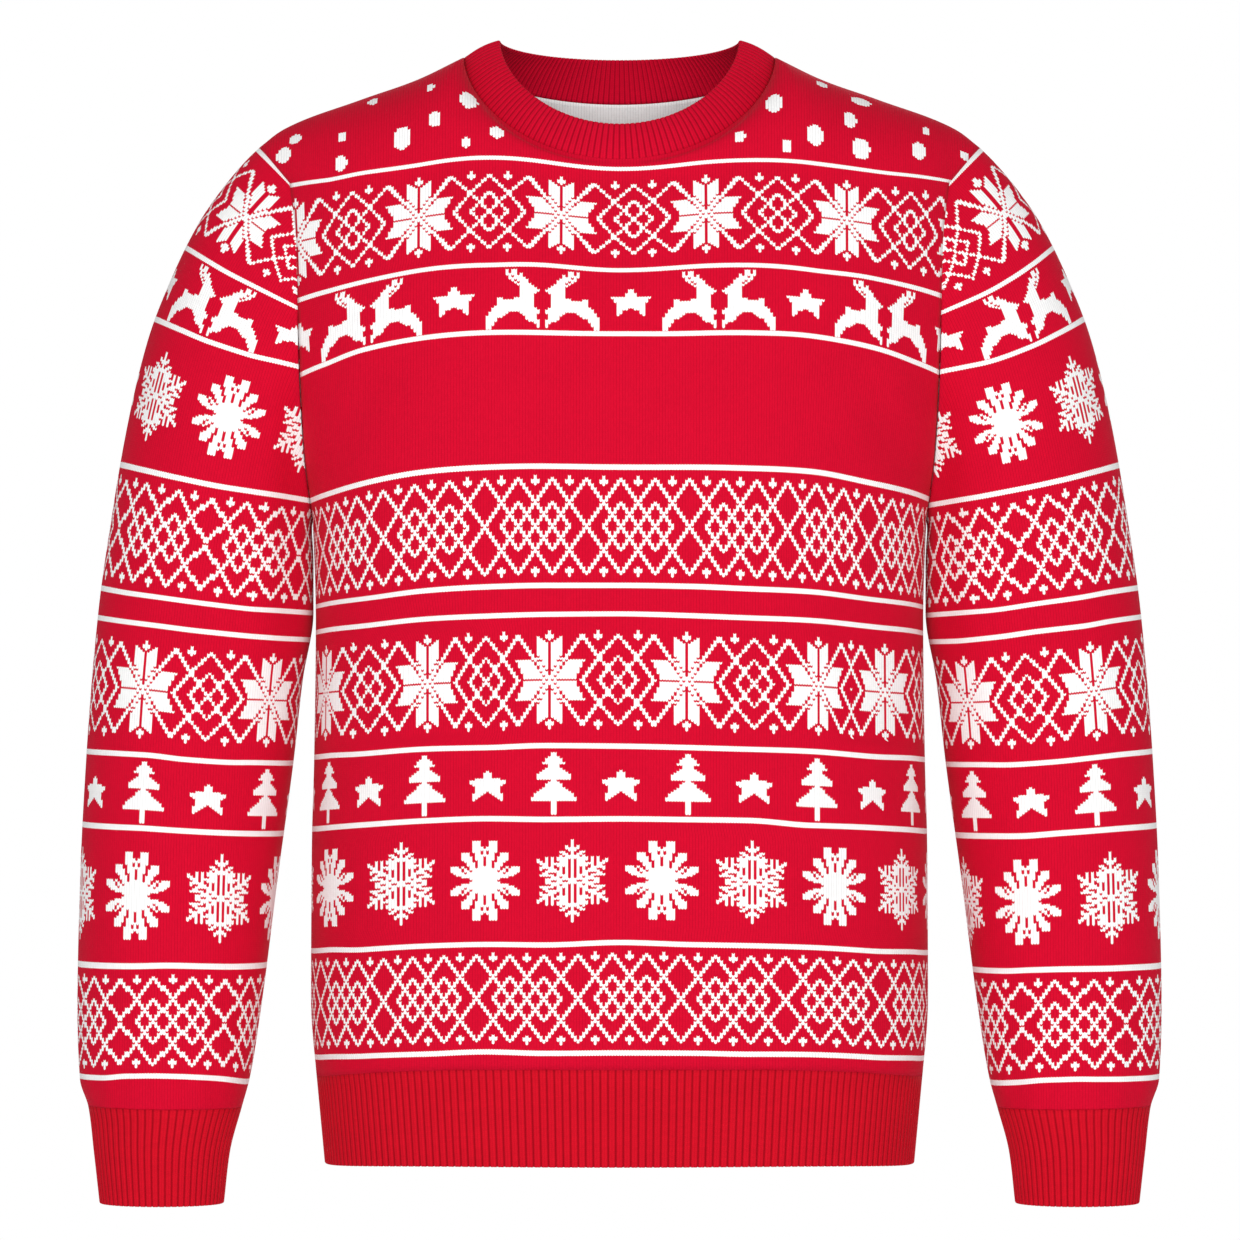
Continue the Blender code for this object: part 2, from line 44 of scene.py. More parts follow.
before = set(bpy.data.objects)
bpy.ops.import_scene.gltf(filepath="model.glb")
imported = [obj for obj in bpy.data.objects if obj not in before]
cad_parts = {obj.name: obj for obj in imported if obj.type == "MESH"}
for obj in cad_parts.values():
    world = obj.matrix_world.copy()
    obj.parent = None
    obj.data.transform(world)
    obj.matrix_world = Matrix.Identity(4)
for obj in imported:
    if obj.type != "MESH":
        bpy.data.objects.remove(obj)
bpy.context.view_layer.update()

# ------------------------------------------------------------------ cloth
WALL = 0.0022                 # knitted cloth, outer face to inner face
SEAM_GAP = 0.00003            # between two pieces along their seam
ARM_CLEARANCE = 0.0006        # between a hanging sleeve and the side of the body

# ------------------------------------------------------------------ body
# Half the width and the depth to the front and back of the middle, at heights up the body.
Level = namedtuple("Level", "height half_width front_depth back_depth")
BODY = [
    Level(-0.684, 0.1830, 0.1150, 0.1060),      # hem edge
    Level(-0.632, 0.1880, 0.1180, 0.1090),      # hem seam
    Level(-0.585, 0.1915, 0.1210, 0.1110),
    Level(-0.490, 0.1910, 0.1230, 0.1120),
    Level(-0.433, 0.1895, 0.1240, 0.1130),      # waist
    Level(-0.350, 0.1885, 0.1250, 0.1170),
    Level(-0.287, 0.1905, 0.1260, 0.1210),      # underarm
    Level(-0.245, 0.1942, 0.1260, 0.1235),
    Level(-0.155, 0.1977, 0.1190, 0.1230),      # chest
    Level(-0.115, 0.1990, 0.1080, 0.1190),
    Level(-0.0795, 0.2035, 0.0930, 0.1090),     # top of the patterned chest
]
SECTION_POWER = 2.3           # 2 is an oval section, and more is squarer

# How far a row of stitches hangs lower at the sides, and lifts beside the neck, than in front.
Hang = namedtuple("Hang", "height side_drop neck_lift")
HANG = [
    Hang(-0.684, 0.0040, 0.0000),
    Hang(-0.622, 0.0092, 0.0000),
    Hang(-0.545, 0.0090, 0.0000),
    Hang(-0.426, 0.0078, 0.0000),
    Hang(-0.347, 0.0092, 0.0000),
    Hang(-0.256, 0.0166, 0.0008),
    Hang(-0.176, 0.0210, 0.0017),
    Hang(-0.137, 0.0148, 0.0038),
    Hang(-0.074, 0.0055, 0.0078),
]
DROP_POWER = 4.0              # the rows stay level in the middle and drop near the sides
LIFT_WIDTH = 0.170            # the lift beside the neck fades out this far from the middle

HEM_EDGE = -0.6806            # heights of rows of stitches, at the middle of the front
HEM_SEAM = -0.6220
YOKE_ROW = -0.0740

# ------------------------------------------------------------------ shoulders, armholes and neck
Ridge = namedtuple("Ridge", "across height")
SHOULDER = [
    Ridge(0.0966, 0.0000),    # neck point
    Ridge(0.1250, -0.0137),
    Ridge(0.1605, -0.0261),
    Ridge(0.2092, -0.0447),
    Ridge(0.2235, -0.0555),   # shoulder tip
]
UNDERARM = -0.287
ARMHOLE_TOP = SHOULDER[-1].height
ARMHOLE_FRONT = 0.056         # half-depths of the armhole
ARMHOLE_BACK = 0.053

# An edge round the neck: half width, then depth and height at its front and back, and at its sides.
NeckEdge = namedtuple("NeckEdge", "half_width front_depth front_height side_height back_depth "
                                  "back_height")
NECK_SEAM = NeckEdge(0.0966, 0.0900, -0.0678, 0.0000, 0.0780, -0.0234)
NECK_EDGE = NeckEdge(0.0755, 0.0800, -0.0459, 0.0112, 0.0745, 0.0031)
NECK_POWER = 1.15             # how sharply the edges round the neck rise to the sides
BAND_BULGE = 0.0015           # how far the middle of the neckband stands out
CHEST_LEAN = 0.40             # slope of the cloth below the front of the neck, back over up
YOKE_START = 0.010            # the yoke leaves its row in line with the cloth this far below it
YOKE_REACH = 0.42             # how long the yoke's curve keeps its direction at each end

# ------------------------------------------------------------------ sleeves
# The outer and inner outline of a hanging sleeve, seen from the front.
Outline = namedtuple("Outline", "height across")
SLEEVE_OUTER = [
    Outline(-0.0555, 0.2235), Outline(-0.0633, 0.2315), Outline(-0.0819, 0.2471),
    Outline(-0.1006, 0.2600), Outline(-0.1378, 0.2785), Outline(-0.1751, 0.2927),
    Outline(-0.2310, 0.3060), Outline(-0.2869, 0.3155), Outline(-0.3428, 0.3234),
    Outline(-0.4360, 0.3309), Outline(-0.5105, 0.3343), Outline(-0.5850, 0.3356),
    Outline(-0.6330, 0.3338), Outline(-0.6500, 0.3285), Outline(-0.6782, 0.3250),
    Outline(-0.7086, 0.3215),
]
SLEEVE_INNER = [
    Outline(-0.2870, 0.1915), Outline(-0.3140, 0.1900), Outline(-0.3440, 0.1900),
    Outline(-0.3860, 0.1966), Outline(-0.4360, 0.2022), Outline(-0.5105, 0.2121),
    Outline(-0.5850, 0.2214), Outline(-0.6330, 0.2290), Outline(-0.6500, 0.2336),
    Outline(-0.6782, 0.2410), Outline(-0.7086, 0.2445),
]
# Rings down the sleeve: their height at the outer and inner outline, their half-depth, and how far
# the arm hangs forward there.
Ring = namedtuple("Ring", "outer_height inner_height half_depth forward")
SLEEVE = [
    Ring(-0.0555, -0.2870, 0.0545, 0.0015),     # armhole
    Ring(-0.0788, -0.2885, 0.0575, 0.0020),
    Ring(-0.1100, -0.2915, 0.0595, 0.0020),
    Ring(-0.1530, -0.2970, 0.0605, 0.0020),
    Ring(-0.2050, -0.3060, 0.0605, 0.0020),
    Ring(-0.2620, -0.3195, 0.0600, 0.0020),
    Ring(-0.3240, -0.3440, 0.0595, 0.0020),     # rows lie along the rings from here down
    Ring(-0.3800, -0.3860, 0.0585, 0.0030),
    Ring(-0.4320, -0.4370, 0.0575, 0.0050),     # elbow
    Ring(-0.4780, -0.4823, 0.0560, 0.0080),
    Ring(-0.5220, -0.5230, 0.0545, 0.0110),
    Ring(-0.5640, -0.5640, 0.0530, 0.0140),
    Ring(-0.6050, -0.6060, 0.0510, 0.0170),
    Ring(-0.6350, -0.6365, 0.0490, 0.0190),
    Ring(-0.6490, -0.6500, 0.0445, 0.0200),     # cuff seam
]
CUFF = [
    Ring(-0.6490, -0.6500, 0.0445, 0.0200),
    Ring(-0.6782, -0.6790, 0.0400, 0.0215),
    Ring(-0.7086, -0.7086, 0.0365, 0.0230),
]
ARMHOLE_FADE = 3.0            # rings of the table over which the sleeve loses the armhole's curve
# Sleeve and panel meet flush where their outward directions agree, by the cosine between them, and
# the sleeve folds back from the seam where they don't.
FOLDED, FLUSH = 0.2, 0.7

# ------------------------------------------------------------------ grids of points
NECK_COLUMNS = 30             # columns from the middle of a panel to the neck point
SHOULDER_COLUMNS = 30         # columns from the neck point to the armhole
COLUMNS = NECK_COLUMNS + SHOULDER_COLUMNS
NECKLINE = slice(SHOULDER_COLUMNS, SHOULDER_COLUMNS + 2 * NECK_COLUMNS + 1)
BODY_ROWS = 72                # rows from the hem seam to the underarm
ARMHOLE_ROWS = 48             # rows from the underarm to the yoke
YOKE_ROWS = 36                # rows from the yoke to the neck and shoulder
SLEEVE_RINGS = 150
RIB_STEPS = 6                 # points across one rib
RIB_FADE = 0.010              # the ribs deepen over this length from the seam
HEM_ROWS = 20
CUFF_ROWS = 20
NECKBAND_ROWS = 14
RIB_INSIDE = 0.6              # depth of the ribs inside a band, over their depth outside
ROLL_STEPS = 4                # points round the rolled edge of a band
FINE = 400                    # points used to measure a curve's length
FRONT = -1                    # which way a panel faces along Y
BACK = 1


# ------------------------------------------------------------------ curves
def column(table, name):
    """One named column of a table of sizes."""
    return np.array([getattr(row, name) for row in table])


def through(knots, values, at):
    """A smooth curve through a table's values that never swings past them."""
    knots, values, at = (np.asarray(item, dtype=float) for item in (knots, values, at))
    order = np.argsort(knots)
    knots, values = knots[order], values[order]
    step = np.diff(knots)
    slope = np.diff(values) / step
    lean = np.concatenate([slope[:1], np.zeros(len(slope) - 1), slope[-1:]])
    for index in range(1, len(slope)):
        before, after = slope[index - 1], slope[index]
        if before * after > 0.0:
            weight_before = 2.0 * step[index] + step[index - 1]
            weight_after = step[index] + 2.0 * step[index - 1]
            lean[index] = (weight_before + weight_after) / (weight_before / before
                                                            + weight_after / after)
    place = np.clip(np.searchsorted(knots, at) - 1, 0, len(step) - 1)
    run = step[place]
    part = np.clip((at - knots[place]) / run, 0.0, 1.0)
    start = (1.0 + 2.0 * part) * (1.0 - part) ** 2
    end = part ** 2 * (3.0 - 2.0 * part)
    start_lean = part * (1.0 - part) ** 2 * run
    end_lean = part ** 2 * (part - 1.0) * run
    return (start * values[place] + end * values[place + 1]
            + start_lean * lean[place] + end_lean * lean[place + 1])


def running(points):
    """Distance along a line of points, starting at the first."""
    steps = np.linalg.norm(np.diff(points, axis=0), axis=1)
    return np.concatenate([[0.0], np.cumsum(steps)])


def spaced(points, count):
    """The same curve through count + 1 points at equal distances along it."""
    along = running(points)
    stops = np.linspace(0.0, along[-1], count + 1)
    return np.column_stack([np.interp(stops, along, axis) for axis in points.T])


def unit(vectors):
    return vectors / np.linalg.norm(vectors, axis=-1, keepdims=True)


def other_side(points):
    """The same points or directions on the -X side."""
    return points * np.array([-1.0, 1.0, 1.0])


def whole(half):
    """A line or grid from -X to +X, from its half that starts at the middle."""
    return np.concatenate([other_side(half)[..., :0:-1, :], half], axis=-2)


def eased(amount):
    """0 to 1 with a level start and end."""
    amount = np.clip(amount, 0.0, 1.0)
    return amount * amount * (3.0 - 2.0 * amount)


def across_seam(ring, normal, toward):
    """Directions in the cloth, square to a seam that closes on itself, on the side given."""
    seam = np.roll(ring, -1, axis=0) - np.roll(ring, 1, axis=0)
    direction = unit(np.cross(normal, seam))
    side = np.sign(np.sum(direction * toward, axis=1))[:, None]
    return direction * side


# ------------------------------------------------------------------ body panels
def body_size(name, height):
    return through(column(BODY, "height"), column(BODY, name), height)


def hang(name, height):
    return through(column(HANG, "height"), column(HANG, name), height)


def side_height(row):
    """Height of a row of stitches at the side of the body."""
    return row - hang("side_drop", row)


def row_at_side(height):
    """The row of stitches that is at a height at the side."""
    rows = np.linspace(HEM_EDGE, YOKE_ROW, FINE)
    return np.interp(height, side_height(rows), rows)


def armhole_height(angle):
    """Height at an angle round the armhole: 0 is the underarm and pi is the shoulder tip."""
    return (ARMHOLE_TOP + UNDERARM) / 2.0 - (ARMHOLE_TOP - UNDERARM) / 2.0 * math.cos(angle)


def armhole_angle(height):
    """Angle round the armhole from the underarm, for a height."""
    middle, half = (ARMHOLE_TOP + UNDERARM) / 2.0, (ARMHOLE_TOP - UNDERARM) / 2.0
    return np.arccos(np.clip((middle - height) / half, -1.0, 1.0))


def armhole_point(angle, facing):
    """A point of the +X armhole's edge."""
    height = armhole_height(angle)
    if height > BODY[-1].height:
        across = np.interp(height, [BODY[-1].height, ARMHOLE_TOP],
                           [BODY[-1].half_width, SHOULDER[-1].across])
    else:
        across = body_size("half_width", height)
    depth = ARMHOLE_FRONT if facing == FRONT else ARMHOLE_BACK
    return np.array([across, facing * depth * math.sin(angle), height])


def panel_row(row, facing, columns):
    """Points of a row of stitches from the middle of a panel to its +X edge."""
    side = float(side_height(row))
    half_width = float(body_size("half_width", side))
    depth = float(body_size("front_depth" if facing == FRONT else "back_depth", row))
    edge_depth = 0.0
    if side > UNDERARM:
        edge_depth = abs(armhole_point(float(armhole_angle(side)), facing)[1])
    cut_off = (edge_depth / depth) ** SECTION_POWER
    full_width = half_width / (1.0 - cut_off) ** (1.0 / SECTION_POWER)
    turn = np.linspace(0.0, math.asin((half_width / full_width) ** (SECTION_POWER / 2.0)), FINE)
    across = full_width * np.sin(turn) ** (2.0 / SECTION_POWER)
    out = depth * np.clip(np.cos(turn), 0.0, 1.0) ** (2.0 / SECTION_POWER)
    lift = float(hang("neck_lift", row)) if facing == FRONT else 0.0
    height = (row - (row - side) * (across / half_width) ** DROP_POWER
              + lift * np.sin(math.pi * np.clip(across / LIFT_WIDTH, 0.0, 1.0)) ** 2)
    return spaced(np.column_stack([across, facing * out, height]), columns)


def neck_curve(edge, angle):
    """Points round an edge of the neck: 0 is the front, pi / 2 the +X side and pi the back."""
    angle = np.asarray(angle, dtype=float)
    ahead = np.cos(angle)
    depth = np.where(ahead > 0.0, -edge.front_depth, edge.back_depth) * np.abs(ahead)
    end = np.where(ahead > 0.0, edge.front_height, edge.back_height)
    height = edge.side_height + (end - edge.side_height) * np.abs(ahead) ** NECK_POWER
    return np.column_stack([edge.half_width * np.sin(angle), depth, height])


def neck_angles(facing):
    """Angles of the columns from the middle of a panel to the neck point."""
    start = 0.0 if facing == FRONT else math.pi
    fine = np.linspace(start, math.pi / 2.0, FINE)
    along = running(neck_curve(NECK_SEAM, fine))
    return np.interp(np.linspace(0.0, along[-1], NECK_COLUMNS + 1), along, fine)


def panel_top(facing):
    """Points of a panel's top edge: half the neckline, then the shoulder to its tip."""
    neck = neck_curve(NECK_SEAM, neck_angles(facing))
    across = np.linspace(SHOULDER[0].across, SHOULDER[-1].across, FINE)
    height = through(column(SHOULDER, "across"), column(SHOULDER, "height"), across)
    shoulder = spaced(np.column_stack([across, np.zeros(FINE), height]), SHOULDER_COLUMNS)
    return np.vstack([neck, shoulder[1:]])


def neckline_normals(facing):
    """Outward directions of the cloth along a panel's neckline, from the -X neck point to +X."""
    angles = neck_angles(facing)
    points = neck_curve(NECK_SEAM, angles)
    seam = np.gradient(points, axis=0)
    seam[0] = (1.0, 0.0, 0.0)
    seam[-1] = (0.0, 1.0, 0.0)
    slope = SHOULDER[1].height / (SHOULDER[1].across - SHOULDER[0].across)
    down_shoulder = unit(np.array([1.0, 0.0, slope]))
    down_panel = unit(np.array([0.0, facing * CHEST_LEAN, -1.0]))
    share = np.sin(angles)[:, None] ** 2
    away = unit(share * down_shoulder + (1.0 - share) * down_panel)
    half = unit(np.cross(away, seam))
    return whole(half * np.sign(half[:, 2:]))


def yoke_rows(lower, yoke, facing):
    """Rows that carry a panel from its yoke row over the shoulder to its top edge."""
    top = panel_top(facing)
    angles = neck_angles(facing)
    over = np.concatenate([np.sin(angles) ** 2, np.ones(SHOULDER_COLUMNS)])[:, None]
    rising = unit(np.array([0.0, -facing * CHEST_LEAN, 1.0]))
    crossing = np.array([0.0, -float(facing), 0.0])
    arriving = unit((1.0 - over) * rising + over * crossing)
    leaving = unit(yoke - lower)
    reach = YOKE_REACH * np.linalg.norm(top - yoke, axis=1)[:, None]
    start, end = yoke + reach * leaving, top - reach * arriving
    first = float(armhole_angle(yoke[-1][2]))
    held = eased((np.arange(len(top)) - len(top) / 2.0) / (len(top) / 2.0 - 1.0))[:, None]
    rows = []
    for step in range(1, YOKE_ROWS + 1):
        part = step / YOKE_ROWS
        row = ((1.0 - part) ** 3 * yoke + 3.0 * part * (1.0 - part) ** 2 * start
               + 3.0 * part ** 2 * (1.0 - part) * end + part ** 3 * top)
        edge = armhole_point(first + part * (math.pi - first), facing)
        rows.append(row + held * (edge - row[-1]))
    rows[-1] = top
    return rows


def panel_grid(facing):
    """Outer points and outward directions of a whole panel, rows from the hem up."""
    rows = list(np.linspace(HEM_SEAM, float(row_at_side(UNDERARM)), BODY_ROWS + 1))
    last_angle = float(armhole_angle(side_height(YOKE_ROW)))
    for step in range(1, ARMHOLE_ROWS):
        rows.append(float(row_at_side(armhole_height(last_angle * step / ARMHOLE_ROWS))))
    rows.append(YOKE_ROW)
    grid = [panel_row(row, facing, COLUMNS) for row in rows]
    below_yoke = panel_row(YOKE_ROW - YOKE_START, facing, COLUMNS)
    grid += yoke_rows(below_yoke, grid[-1], facing)
    outer = whole(np.array(grid))
    normal = outward(outer, closed=False) * facing
    normal[:BODY_ROWS + 1, [0, -1], 1] = 0.0
    normal[-1, NECKLINE] = neckline_normals(facing)
    shoulder = np.r_[0:SHOULDER_COLUMNS + 1, -SHOULDER_COLUMNS - 1:0]
    normal[-1, shoulder, 1] = 0.0
    normal = unit(normal)
    outer[:, :, 1] += facing * SEAM_GAP / 2.0
    return outer, normal


def outward(grid, closed):
    """Unit directions square to a grid of points, from the points on each side of each one."""
    if closed:
        across = np.roll(grid, -1, axis=1) - np.roll(grid, 1, axis=1)
    else:
        across = np.gradient(grid, axis=1)
    along = np.gradient(grid, axis=0)
    return unit(np.cross(across, -along))


# ------------------------------------------------------------------ sleeves and bands
def sleeve_ring(ring, angles):
    """Points round a sleeve on the +X side: angle 0 is its inner line and pi its outer line."""
    inner, outer = (
        np.array([float(through(column(line, "height"), column(line, "across"), at)), 0.0, at])
        for line, at in ((SLEEVE_INNER, ring.inner_height), (SLEEVE_OUTER, ring.outer_height)))
    middle, reach = (inner + outer) / 2.0, (inner - outer) / 2.0
    points = middle + np.cos(angles)[:, None] * reach
    points[:, 1] -= ring.half_depth * np.sin(angles) + ring.forward
    return points


def ring_between(table, place):
    """A ring part of the way along a table of rings."""
    index = np.arange(len(table))
    return Ring(*(float(through(index, column(table, name), place)) for name in Ring._fields))


def joined(ahead, behind):
    """A ring along a line of the front's points and back along the matching line of the back's."""
    ring = np.vstack([ahead, behind[::-1][1:-1]])
    ring[0] = (ahead[0] + behind[0]) / 2.0
    ring[len(ahead) - 1] = (ahead[-1] + behind[-1]) / 2.0
    return ring


def armhole_loop(front, back):
    """Points and directions round the +X armhole: up the front, then down the back."""
    start = BODY_ROWS
    loops = []
    for front_grid, back_grid in zip(front, back):
        loops.append(joined(front_grid[start:, -1], back_grid[start:, -1]))
    return loops[0], unit(loops[1])


def sleeve_grid(front, back):
    """Outer and inner points of the +X sleeve, rings from the armhole down."""
    loop, loop_normal = armhole_loop(front, back)
    rise = ARMHOLE_ROWS + YOKE_ROWS
    last_angle = float(armhole_angle(side_height(YOKE_ROW)))
    up = np.concatenate([np.linspace(0.0, last_angle, ARMHOLE_ROWS + 1)[:-1],
                         np.linspace(last_angle, math.pi, YOKE_ROWS + 1)])
    cut = np.concatenate([up, 2.0 * math.pi - up[-2:0:-1]])
    even = np.concatenate([np.linspace(0.0, math.pi, rise + 1),
                           np.linspace(math.pi, 2.0 * math.pi, rise + 1)[1:-1]])
    armhole = loop - sleeve_ring(SLEEVE[0], cut)
    rings = []
    for step in range(SLEEVE_RINGS + 1):
        place = (len(SLEEVE) - 1) * step / SLEEVE_RINGS
        settled = float(eased(place / ARMHOLE_FADE))
        angles = (1.0 - settled) * cut + settled * even
        rings.append(sleeve_ring(ring_between(SLEEVE, place), angles) + (1.0 - settled) * armhole)
    outer = np.array(rings)
    normal = outward(outer, closed=True)
    agreement = np.sum(normal[0] * loop_normal, axis=1)
    alike = eased((agreement - FOLDED) / (FLUSH - FOLDED))[:, None]
    normal[0] = unit(alike * loop_normal + (1.0 - alike) * normal[0])
    leaving = across_seam(loop, normal[0], outer[1] - outer[0])
    gap = SEAM_GAP + (ARM_CLEARANCE - SEAM_GAP) * (1.0 - alike)
    outer[0] += gap * unit(alike * leaving + (1.0 - alike) * np.array([1.0, 0.0, 0.0]))
    return outer, normal


def cuff_rings(last_ring, last_normal):
    """Plain rings of the +X cuff, from the sleeve's last ring down."""
    angles = np.linspace(0.0, 2.0 * math.pi, len(last_ring) + 1)[:-1]
    rings = [sleeve_ring(ring_between(CUFF, place), angles)
             for place in np.linspace(0.0, len(CUFF) - 1.0, CUFF_ROWS + 1)]
    rings[0] = last_ring + SEAM_GAP * across_seam(last_ring, last_normal, rings[1] - last_ring)
    outer = np.array(rings)
    normal = outward(outer, closed=True)
    normal[0] = last_normal
    return outer, normal


def hem_rings(front, back):
    """Plain rings of the hem, from the panels' lower edges down to the hem's edge."""
    seam, seam_normal = (joined(*(grid[0] for grid in pair)) for pair in zip(front, back))
    seam_normal = unit(seam_normal)
    ahead, behind = (whole(panel_row(HEM_EDGE, facing, COLUMNS)) for facing in (FRONT, BACK))
    edge = np.vstack([ahead, behind[::-1][1:-1]])
    top = seam + SEAM_GAP * across_seam(seam, seam_normal, edge - seam)
    part = np.linspace(0.0, 1.0, HEM_ROWS + 1)[:, None, None]
    outer = (1.0 - part) * top + part * edge
    normal = outward(outer, closed=True)
    normal[0] = seam_normal
    return outer, normal


def neckband_rings(front, back):
    """Plain rings of the neckband, from the neckline up to its folded edge."""
    seam, seam_normal = (joined(*(grid[-1][NECKLINE] for grid in pair))
                         for pair in zip(front, back))
    seam_normal = unit(seam_normal)
    ahead, behind = neck_angles(FRONT), neck_angles(BACK)
    angles = np.concatenate([-ahead[::-1], ahead[1:], behind[::-1][1:], -behind[1:-1]])
    edge = neck_curve(NECK_EDGE, angles)
    top = seam + SEAM_GAP * across_seam(seam, seam_normal, edge - seam)
    part = np.linspace(0.0, 1.0, NECKBAND_ROWS + 1)[:, None, None]
    outer = (1.0 - part) * top + part * edge
    normal = -outward(outer, closed=True)
    normal[0] = seam_normal
    outer += 4.0 * part * (1.0 - part) * BAND_BULGE * normal
    return outer, normal


# ------------------------------------------------------------------ creases
# Soft troughs in the front or back of a piece, each from one place to another, seen from the front,
# and how deep and wide they are. A depth below nought is a ridge.
Crease = namedtuple("Crease", "start end depth width")
CREASE_ENDS = 0.35            # share of its depth that a crease has at its ends
CREASE_TURN = 1.5             # how soon creases deepen where the cloth turns to face front or back


def creased(outer, normal, creases, facing):
    """The same grid, pressed in along the creases of its front or back."""
    moved = np.zeros(outer.shape[:2])
    seen = outer[..., [0, 2]]
    for crease in creases:
        start, end = np.array(crease.start), np.array(crease.end)
        along = end - start
        part = np.clip(((seen - start) @ along) / (along @ along), 0.0, 1.0)
        away = np.linalg.norm(seen - start - part[..., None] * along, axis=-1)
        taper = CREASE_ENDS + (1.0 - CREASE_ENDS) * np.sin(math.pi * part)
        moved += crease.depth * taper * np.exp(-(away / crease.width) ** 2)
    pressed = outer.copy()
    pressed[..., 1] -= moved * eased(CREASE_TURN * facing * normal[..., 1]) * facing
    return pressed


# ------------------------------------------------------------------ stitches
WALE = 0.001734               # one stitch across
COURSE = 0.00117              # one row up
# Heights of the middles of the white stripes at the middle of the front, and their rows, counted
# from the hem seam, and how many rows thick they are.
RowAt = namedtuple("RowAt", "height row thick")
BODY_STRIPES = [
    RowAt(-0.6220, 0.0, 0.0), RowAt(-0.6110, 9.5, 2.8), RowAt(-0.5448, 69.5, 2.8),
    RowAt(-0.4696, 134.5, 2.8), RowAt(-0.4259, 172.5, 2.7), RowAt(-0.3466, 240.5, 2.7),
    RowAt(-0.3284, 256.5, 2.8), RowAt(-0.2563, 316.5, 2.7), RowAt(-0.1757, 385.5, 2.5),
    RowAt(-0.1366, 419.5, 2.3), RowAt(-0.0740, 481.5, 2.2),
]
# The same stripes across a sleeve, where they meet its outer and its inner outline.
SleeveStripe = namedtuple("SleeveStripe", "row outer_x outer_z inner_x inner_z")
SLEEVE_STRIPES = [
    SleeveStripe(-2.5, 0.3285, -0.6490, 0.2336, -0.6500),
    SleeveStripe(9.5, 0.3332, -0.6341, 0.2295, -0.6359),
    SleeveStripe(69.5, 0.3345, -0.5639, 0.2183, -0.5639),
    SleeveStripe(134.5, 0.3320, -0.4770, 0.2078, -0.4813),
    SleeveStripe(172.5, 0.3301, -0.4310, 0.2040, -0.4372),
    SleeveStripe(240.5, 0.3233, -0.3471, 0.1929, -0.3602),
    SleeveStripe(256.5, 0.3208, -0.3291, 0.1885, -0.3440),
    SleeveStripe(316.5, 0.3096, -0.2527, 0.1922, -0.2745),
    SleeveStripe(385.5, 0.2873, -0.1627, 0.2003, -0.1906),
    SleeveStripe(419.5, 0.2693, -0.1180, 0.2009, -0.1521),
    SleeveStripe(481.5, 0.2239, -0.0583, 0.2047, -0.0781),
    SleeveStripe(505.0, 0.2100, -0.0230, 0.1900, -0.0440),
]


def panel_stitches(outer):
    """Stitches across, from the middle, and rows up, from the hem, at each point of a panel."""
    rows, columns = outer.shape[:2]
    middle = columns // 2
    below = BODY_ROWS + ARMHOLE_ROWS
    stitches = np.zeros((rows, columns, 2))
    row_up = np.interp(outer[:, middle, 2], column(BODY_STRIPES, "height"),
                       column(BODY_STRIPES, "row"))
    for row in range(below + 1):
        along = running(outer[row])
        stitches[row, :, 0] = (along - along[middle]) / WALE
        stitches[row, :, 1] = row_up[row]
    across, wales = outer[below, :, 0], stitches[below, :, 0]
    for row in range(below + 1, rows):
        step = np.linalg.norm(outer[row] - outer[row - 1], axis=1)
        x = outer[row, :, 0]
        past = np.sign(x) * np.maximum(np.abs(x) - across[-1], 0.0)
        stitches[row, :, 0] = np.interp(x, across, wales) + past / WALE
        stitches[row, :, 1] = stitches[row - 1, :, 1] + step / COURSE
    return stitches


def sleeve_row(across, height):
    """Row of stitches at a place on the +X sleeve seen from the front, and its slope there."""
    heights, slopes = [], []
    for stripe in SLEEVE_STRIPES:
        slope = (stripe.outer_z - stripe.inner_z) / (stripe.outer_x - stripe.inner_x)
        heights.append(stripe.inner_z + slope * (across - stripe.inner_x))
        slopes.append(slope)
    rows = column(SLEEVE_STRIPES, "row")
    row = np.interp(height, heights, rows)
    return row, np.interp(height, heights, slopes)


def sleeve_stitches(outer, normal):
    """Stitches and rows of the +X sleeve, with the first column again at the end.

    Stitches are counted from the middle of the front. Behind the outer line the count eases over to
    one from the middle of the back, so that the columns of stitches run straight there too.
    """
    rings, count = outer.shape[:2]
    found = np.array([[sleeve_row(point[0], point[2]) for point in ring] for ring in outer])
    slope = found[..., 1]
    rising = np.stack([-slope, np.zeros_like(slope), np.ones_like(slope)], axis=-1)
    along = unit(np.cross(rising, normal))
    stitches = np.zeros((rings, count + 1, 2))
    stitches[:, :-1, 1] = found[..., 0]
    stitches[:, -1, 1] = found[:, 0, 0]
    front, back = count // 4, 3 * count // 4
    drift = {}
    for side in (front, back):
        step = np.sum((outer[1:, side] - outer[:-1, side]) * along[1:, side], axis=1) / WALE
        drift[side] = np.concatenate([[0.0], np.cumsum(step)])
    share = eased((np.arange(count + 1.0) - count // 2) / (back - count // 2))
    for ring in range(rings):
        after = np.roll(outer[ring], -1, axis=0)
        middle = (along[ring] + np.roll(along[ring], -1, axis=0)) / 2.0
        step = np.sum((after - outer[ring]) * middle, axis=1) / WALE
        total = np.concatenate([[0.0], np.cumsum(step)])
        stitches[ring, :, 0] = total - total[front] + drift[front][ring]
    astray = stitches[:, back, 0] - drift[back]
    stitches[..., 0] -= np.outer(astray - astray[rings // 2], share)
    return stitches


